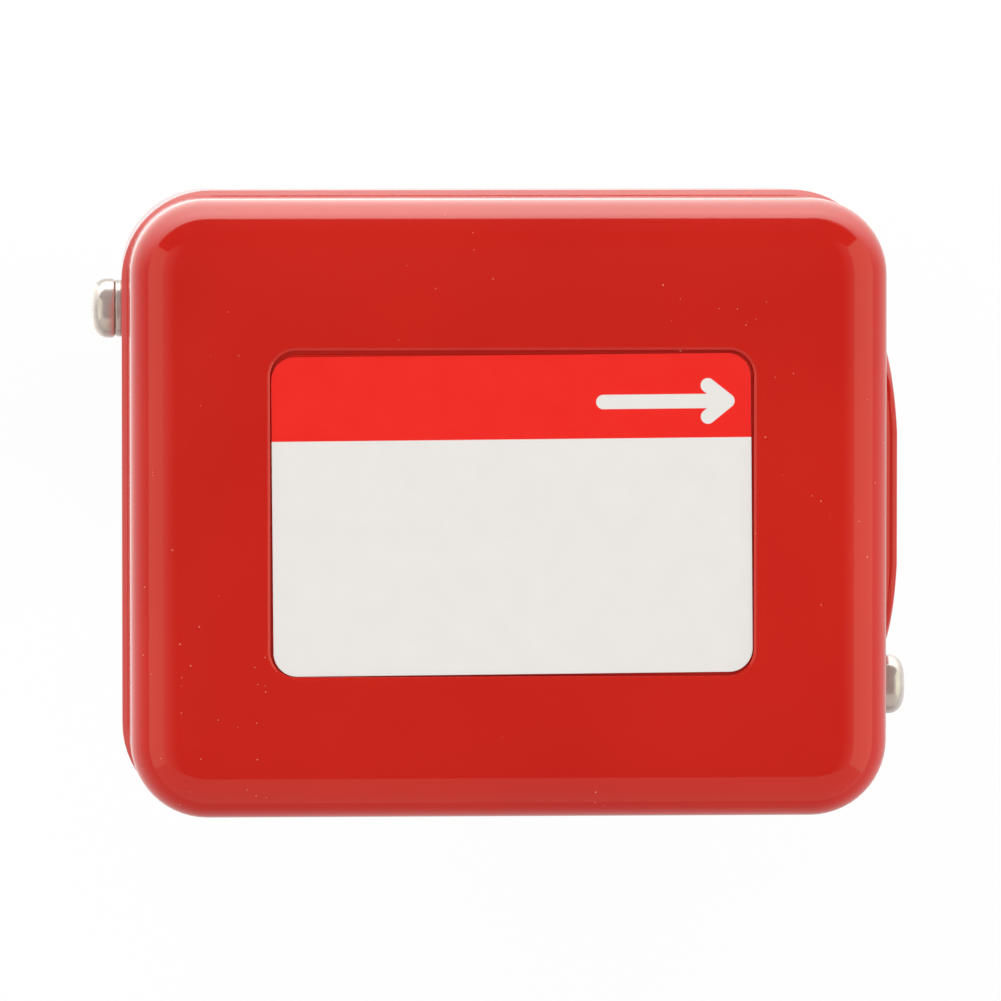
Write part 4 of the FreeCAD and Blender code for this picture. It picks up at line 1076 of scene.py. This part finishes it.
def rangeScrew():
    low, high = span("range_screw")
    sizes, radius = rangeTurning, rangeTurning["radius"]
    seat = high.z - sizes["headHeight"]
    root = seat - sizes["headRoot"]
    head = turned("rangeScrew", softened([(0, root), (radius, root), (radius, seat),
                                          (sizes["head"], seat), (sizes["head"], high.z),
                                          (0, high.z)], sizes["edge"]), headSteps)
    carve(head, loft("slot", [oblong(sizes["slotHalf"], sizes["slot"] / 2, height)
                              for height in (high.z - sizes["slotDepth"], high.z + past)]))
    run = panScrew["runOut"]
    join(head, threadedRod("shank", radius, (radius - panScrew["tip"], low.z),
                           low.z + sizes["runIn"], root - run, sizes["rows"],
                           (radius, root + run)))
    return aim(head, (0, 0, 1), (*middleOf("range_screw")[:2], 0))


finish(rangeScrew(), "zinc", "adjuster", "zinc_plate", "range_screw")

coil = {"turns": 4.5, "wire": 0.4, "closed": 0.16, "evened": 0.45, "steps": 170, "sides": 10,
        "armDrop": 1.7}  # armDrop is how far the lever's arm comes down at full swing


def coilTree():  # wire round Z, its end turns closed up, between two shares of its length
    tree, nodes, given, result = startTree(
        "closedCoil", "Coil", Turns="Float", Radius="Float", Height="Float", Closed="Float",
        Wire="Float", From="Float", To="Float", Steps="Int", Sides="Int", Finish="Material")
    line = nodes.new("GeometryNodeCurvePrimitiveLine")
    evenly = nodes.new("GeometryNodeResampleCurve")
    along = nodes.new("GeometryNodeSplineParameter").outputs["Factor"]
    share = calculate("MULTIPLY_ADD", along, calculate("SUBTRACT", given["To"], given["From"]),
                      given["From"])
    angle = calculate("MULTIPLY", calculate("MULTIPLY", share, given["Turns"]), 2 * math.pi)
    smooth = nodes.new("ShaderNodeMapRange")
    smooth.interpolation_type = "SMOOTHSTEP"
    link(line.outputs["Curve"], evenly.inputs["Curve"], given["Steps"], evenly.inputs["Count"],
         share, smooth.inputs["Value"], given["Closed"], smooth.inputs["From Min"],
         calculate("SUBTRACT", 1.0, given["Closed"]), smooth.inputs["From Max"])
    rise = calculate("ADD", calculate("MULTIPLY", smooth.outputs["Result"], coil["evened"]),
                     calculate("MULTIPLY", share, 1 - coil["evened"]))
    spot = nodes.new("ShaderNodeCombineXYZ")
    for axis, form in (("X", "COSINE"), ("Y", "SINE")):
        link(calculate("MULTIPLY", calculate(form, angle), given["Radius"]), spot.inputs[axis])
    move = nodes.new("GeometryNodeSetPosition")
    section = nodes.new("GeometryNodeCurvePrimitiveCircle")
    skin = nodes.new("GeometryNodeCurveToMesh")
    skin.inputs["Fill Caps"].default_value = True
    link(calculate("MULTIPLY", rise, given["Height"]), spot.inputs["Z"],
         evenly.outputs["Curve"], move.inputs["Geometry"],
         spot.outputs["Vector"], move.inputs["Position"],
         given["Sides"], section.inputs["Resolution"], given["Wire"], section.inputs["Radius"],
         move.outputs["Geometry"], skin.inputs["Curve"],
         section.outputs["Curve"], skin.inputs["Profile Curve"])
    endTree(nodes, skin.outputs["Mesh"], given["Finish"], result)
    return tree


coiler = coilTree()
springLow, springHigh = span("range_spring")
springX, springY, springZ = middleOf("range_spring")
nutTravel = next(joint for joint in frame["joints"] if joint["name"] == "range_nut_travel")


def halfSpring(name, first, last):
    holder = shown(name, plainMesh(name, []))
    grow(holder, coiler, Turns=coil["turns"], Closed=coil["closed"], Wire=coil["wire"],
         Radius=(springHigh.x - springLow.x) / 2 - coil["wire"],
         Height=springHigh.z - springLow.z - 2 * coil["wire"], From=first, To=last,
         Steps=coil["steps"], Sides=coil["sides"], Finish=finishes["spring"])
    return aim(holder, (0, 0, 1), (springX, springY, springLow.z + coil["wire"]))


for name, first, last, joint, drop in (
        ("springLower", 0.0, 0.5, "range_nut_travel", nutTravel["range_m"][1] / mm),
        ("springUpper", 0.5, 1.0, "paddle_swing", coil["armDrop"])):
    piece = finish(halfSpring(name, first, last), "spring", "housing", "spring_steel",
                   "range_spring", angle=60, weighted=False)
    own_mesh(piece)
print("mechanism made")

studio = {"ambient": 0.72, "cameraHeight": 1.36, "cameraSide": (-0.076, 0.0725),
          "aim": (-0.00115, 0.001, 0.077), "lens": 367.9, "floorDrop": 0.001, "floorReach": 6.0,
          "floorTone": (0.86, 0.86, 0.86, 1), "floorGlow": 1.04, "floorShare": 0.8,
          "lamps": {"keyLamp": ((-0.35, 0.45, 1.3), 1.1, 3.75),
                    "backLamp": ((-0.2, 1.2, 0.35), 0.8, 2.8),
                    "rightLamp": ((1.2, -0.1, 0.3), 0.8, 5.6),
                    "leftLamp": ((-1.2, -0.2, 0.3), 0.8, 2.4)}}
floorZ = cadLow.z - studio["floorDrop"]


def stagePiece(name, mesh, material, everywhere=True):  # or only in reflections
    piece = shown(name, mesh)
    piece.data.materials.append(material)
    piece.visible_camera = piece.visible_diffuse = piece.visible_shadow = everywhere


def card(name, corners, material):  # only shapes the reflections
    stagePiece(name, plainMesh(name, corners, [range(len(corners))]), material, False)


def emptyMaterial(name):
    material = bpy.data.materials.new(name)
    material.use_nodes = True
    material.node_tree.nodes.clear()
    return material, material.node_tree


def glowing(name, strength, tint=(1, 1, 1, 1)):  # strength: a number, or what makes it from x, y
    material, tree = emptyMaterial(name)
    glow = addNode(tree, "Emission", Color=tint)
    if callable(strength):
        where = addNode(tree, "TexCoord").outputs["Object"]
        link(strength(*axesOf(where)), glow.inputs["Strength"])
    else:
        glow.inputs["Strength"].default_value = strength
    link(glow.outputs["Emission"], addNode(tree, "OutputMaterial").inputs["Surface"])
    return material


def mixed(share, first, second):
    node = addNode(share.id_data, "MixShader")
    link(share, node.inputs[0], first, node.inputs[1], second, node.inputs[2])
    return node.outputs["Shader"]


def seenDirectly(tree):  # 1 for rays from the camera, a reflection or a clear piece
    path = addNode(tree, "LightPath").outputs
    seen = calculate("ADD", path["Is Camera Ray"], path["Is Glossy Ray"], clamp=True)
    return calculate("ADD", seen, path["Is Transmission Ray"], clamp=True)


def paleFloor():  # clear from below
    material, tree = emptyMaterial("paleFloor")
    matt = addNode(tree, "BsdfDiffuse", Color=studio["floorTone"])
    glow = addNode(tree, "Emission", Strength=studio["floorGlow"])
    lit = mixed(calculate("MULTIPLY", seenDirectly(tree), studio["floorShare"]),
                matt.outputs["BSDF"], glow.outputs["Emission"])
    below = addNode(tree, "NewGeometry").outputs["Backfacing"]
    clear = addNode(tree, "BsdfTransparent").outputs["BSDF"]
    link(mixed(below, lit, clear), addNode(tree, "OutputMaterial").inputs["Surface"])
    return material


reach = studio["floorReach"]
corners = [(-reach, -reach, floorZ), (reach, -reach, floorZ), (reach, reach, floorZ),
           (-reach, reach, floorZ)]
stagePiece("floor", plainMesh("floor", corners, [range(4)]), paleFloor())

cardBox = {"height": 1.75, "left": -2.45, "right": 2.05, "front": -1.35, "back": 1.5,
           "endReach": 2.5, "ends": ((0.36, 0.17), (0.76, 0.6), (1.0, 0.8)),
           "tint": (1, 0.88, 0.76, 1)}
left, right, front, rear = (cardBox[key] for key in ("left", "right", "front", "back"))
wallCards = {"back": ((left, rear), (right, rear), 0.24, 0.17, (1, 0.9, 0.8, 1)),
             "left": ((left, front), (left, rear), 0.16, 0.95, (1, 0.97, 0.76, 1)),
             "right": ((right, front), (right, rear), -0.1, 1.08, (1, 0.97, 0.76, 1)),
             "front": ((left, front), (right, front), -0.05, 0.55, (1, 0.97, 0.85, 1))}
# each side's rows are its brightness at a distance from the object
groundCard = {"hole": (0.058, 0.049), "around": 48, "outward": 10, "tint": (1, 0.97, 0.93, 1),
              "lift": 0.003, "brightest": 4.0,
              "reach": {"left": 2.4, "right": 2.0, "front": 1.3, "back": 1.45},
              "rise": {"left": 0.26, "right": 0.02, "front": 0.07, "back": 0.31},
              "left": ((0, 1.75), (0.15, 1.3), (0.25, 0.95), (0.45, 0.6), (0.9, 0.4), (2.4, 0.4)),
              "right": ((0, 0.85), (0.25, 0.76), (0.6, 0.6), (2.4, 0.6)),
              "front": ((0, 0.8), (0.15, 0.56), (0.4, 0.32), (2.4, 0.28)),
              "back": ((0, 2.0), (0.14, 2.3), (0.33, 3.2), (0.5, 3.9), (0.9, 3.4), (2.4, 2.8))}


def ceilingLevel(x, y):  # dark, and lighter towards its two ends
    along = calculate("DIVIDE", calculate("ABSOLUTE", x), cardBox["endReach"])
    return ramp(along, *cardBox["ends"])


def groundLevel(x, y):  # its own brightness on each side, blended smoothly round the corners
    acrossX, acrossY = calculate("MULTIPLY", x, x), calculate("MULTIPLY", y, y)
    both = calculate("ADD", acrossX, acrossY)
    far, bright = groundCard["left"][-1][0], groundCard["brightest"]
    away = calculate("DIVIDE", calculate("SQRT", both), far)

    def blended(share, first, second):
        return calculate("MULTIPLY_ADD", calculate("SUBTRACT", second, first), share, first)

    def side(name):
        return ramp(away, *[(place / far, value / bright) for place, value in groundCard[name]])

    level = blended(calculate("DIVIDE", acrossX, both),
                    blended(calculate("GREATER_THAN", y, 0.0), side("front"), side("back")),
                    blended(calculate("GREATER_THAN", x, 0.0), side("left"), side("right")))
    return calculate("MULTIPLY", level, bright)


def groundMesh():  # a shallow dish round the object, each side with its own reach and rise
    sizes, points, faces = groundCard, [], []
    around, outward = sizes["around"], sizes["outward"]
    for step in range(around):
        angle = 2 * math.pi * step / around
        across, along = math.cos(angle), math.sin(angle)
        sideX, sideY = "right" if across > 0 else "left", "back" if along > 0 else "front"
        start = min(hole / max(abs(share), 1e-6)
                    for hole, share in zip(sizes["hole"], (across, along)))
        reach = 1 / math.hypot(across / sizes["reach"][sideX], along / sizes["reach"][sideY])
        rise = across ** 2 * sizes["rise"][sideX] + along ** 2 * sizes["rise"][sideY]
        for row in range(outward + 1):
            share = row / outward
            away = start + (reach - start) * share ** 2
            points.append((away * across, away * along,
                           floorZ + sizes["lift"] + rise * share ** 2))
            if row < outward:
                here = step * (outward + 1) + row
                there = (step + 1) % around * (outward + 1) + row
                faces.append((here, here + 1, there + 1, there))
    return plainMesh("groundCard", points, faces)


high = cardBox["height"]
stagePiece("groundCard", groundMesh(), glowing("groundGlow", groundLevel, groundCard["tint"]),
           False)
card("ceilingCard", [(left, front, high), (right, front, high), (right, rear, high),
                     (left, rear, high)], glowing("ceilingGlow", ceilingLevel, cardBox["tint"]))
for name, (first, second, low, strength, tint) in wallCards.items():
    card(name + "Card", [(*first, low), (*second, low), (*second, high), (*first, high)],
         glowing(name + "Glow", strength, tint))

# two small dim cards by the left screw, seen only in its reflections: painted shade standing for
# the shaded ground beside the screw, so that its upper edge stands out
screwShadeCards = {"out": 4.5, "in": 0.8, "beside": 1.3, "over": 0.4, "under": 8.0, "start": 2.6,
              "glow": 0.8, "tint": (1, 0.98, 0.95, 1)}


def screwShade():
    sizes, across = screwShadeCards, sideScrews["left"]
    far, near = -(seatX + sizes["out"]) * mm, -(seatX - sizes["in"]) * mm
    start, end = (across + sizes["start"]) * mm, (across + panScrew["head"] + sizes["beside"]) * mm
    low, top = (screwZ - sizes["under"]) * mm, (screwZ + sizes["over"]) * mm
    # painted shade: these cards glow dimmer than the ground card round them, so the screw reflects
    # a shadow that is not cast
    glow = glowing("screwShadeGlow", sizes["glow"], sizes["tint"])
    card("screwSideCard", [(far, end, low), (near, end, low), (near, end, top), (far, end, top)],
         glow)
    card("screwLowCard", [(far, start, low), (near, start, low), (near, end, low),
                          (far, end, low)], glow)


screwShade()

for name, (place, size, watts) in studio["lamps"].items():
    lamp = bpy.data.lights.new(name, "AREA")
    lamp.energy = watts
    lamp.shape = "RECTANGLE"
    lamp.size = lamp.size_y = size
    holder = shown(name, lamp)
    holder.location = place
    holder.rotation_euler = (-Vector(place)).to_track_quat("-Z", "Y").to_euler()
    holder.visible_glossy = False

world = bpy.data.worlds.new("studio")
bpy.context.scene.world = world
world.use_nodes = True
world.node_tree.nodes.clear()
sky, plain = (addNode(world.node_tree, "Background", Strength=strength, Color=(1, 1, 1, 1))
              for strength in (studio["ambient"], 1.0))
link(mixed(seenDirectly(world.node_tree), sky.outputs["Background"], plain.outputs["Background"]),
     addNode(world.node_tree, "OutputWorld").inputs["Surface"])

camera = shown("camera", bpy.data.cameras.new("camera"))
bpy.context.scene.camera = camera
target = Vector(studio["aim"])
place = target + Vector((*studio["cameraSide"], studio["cameraHeight"]))
back = (place - target).normalized()
right = Vector((0, 1, 0)).cross(back).normalized()
camera.matrix_world = Matrix.Translation(place) @ Matrix((right, back.cross(right), back)
                                                         ).transposed().to_4x4()
camera.data.lens = studio["lens"]
camera.data.sensor_width = 36.0
camera.data.clip_start, camera.data.clip_end = 0.1, 20.0
bpy.context.scene.view_settings.view_transform = "Standard"
print("studio set")
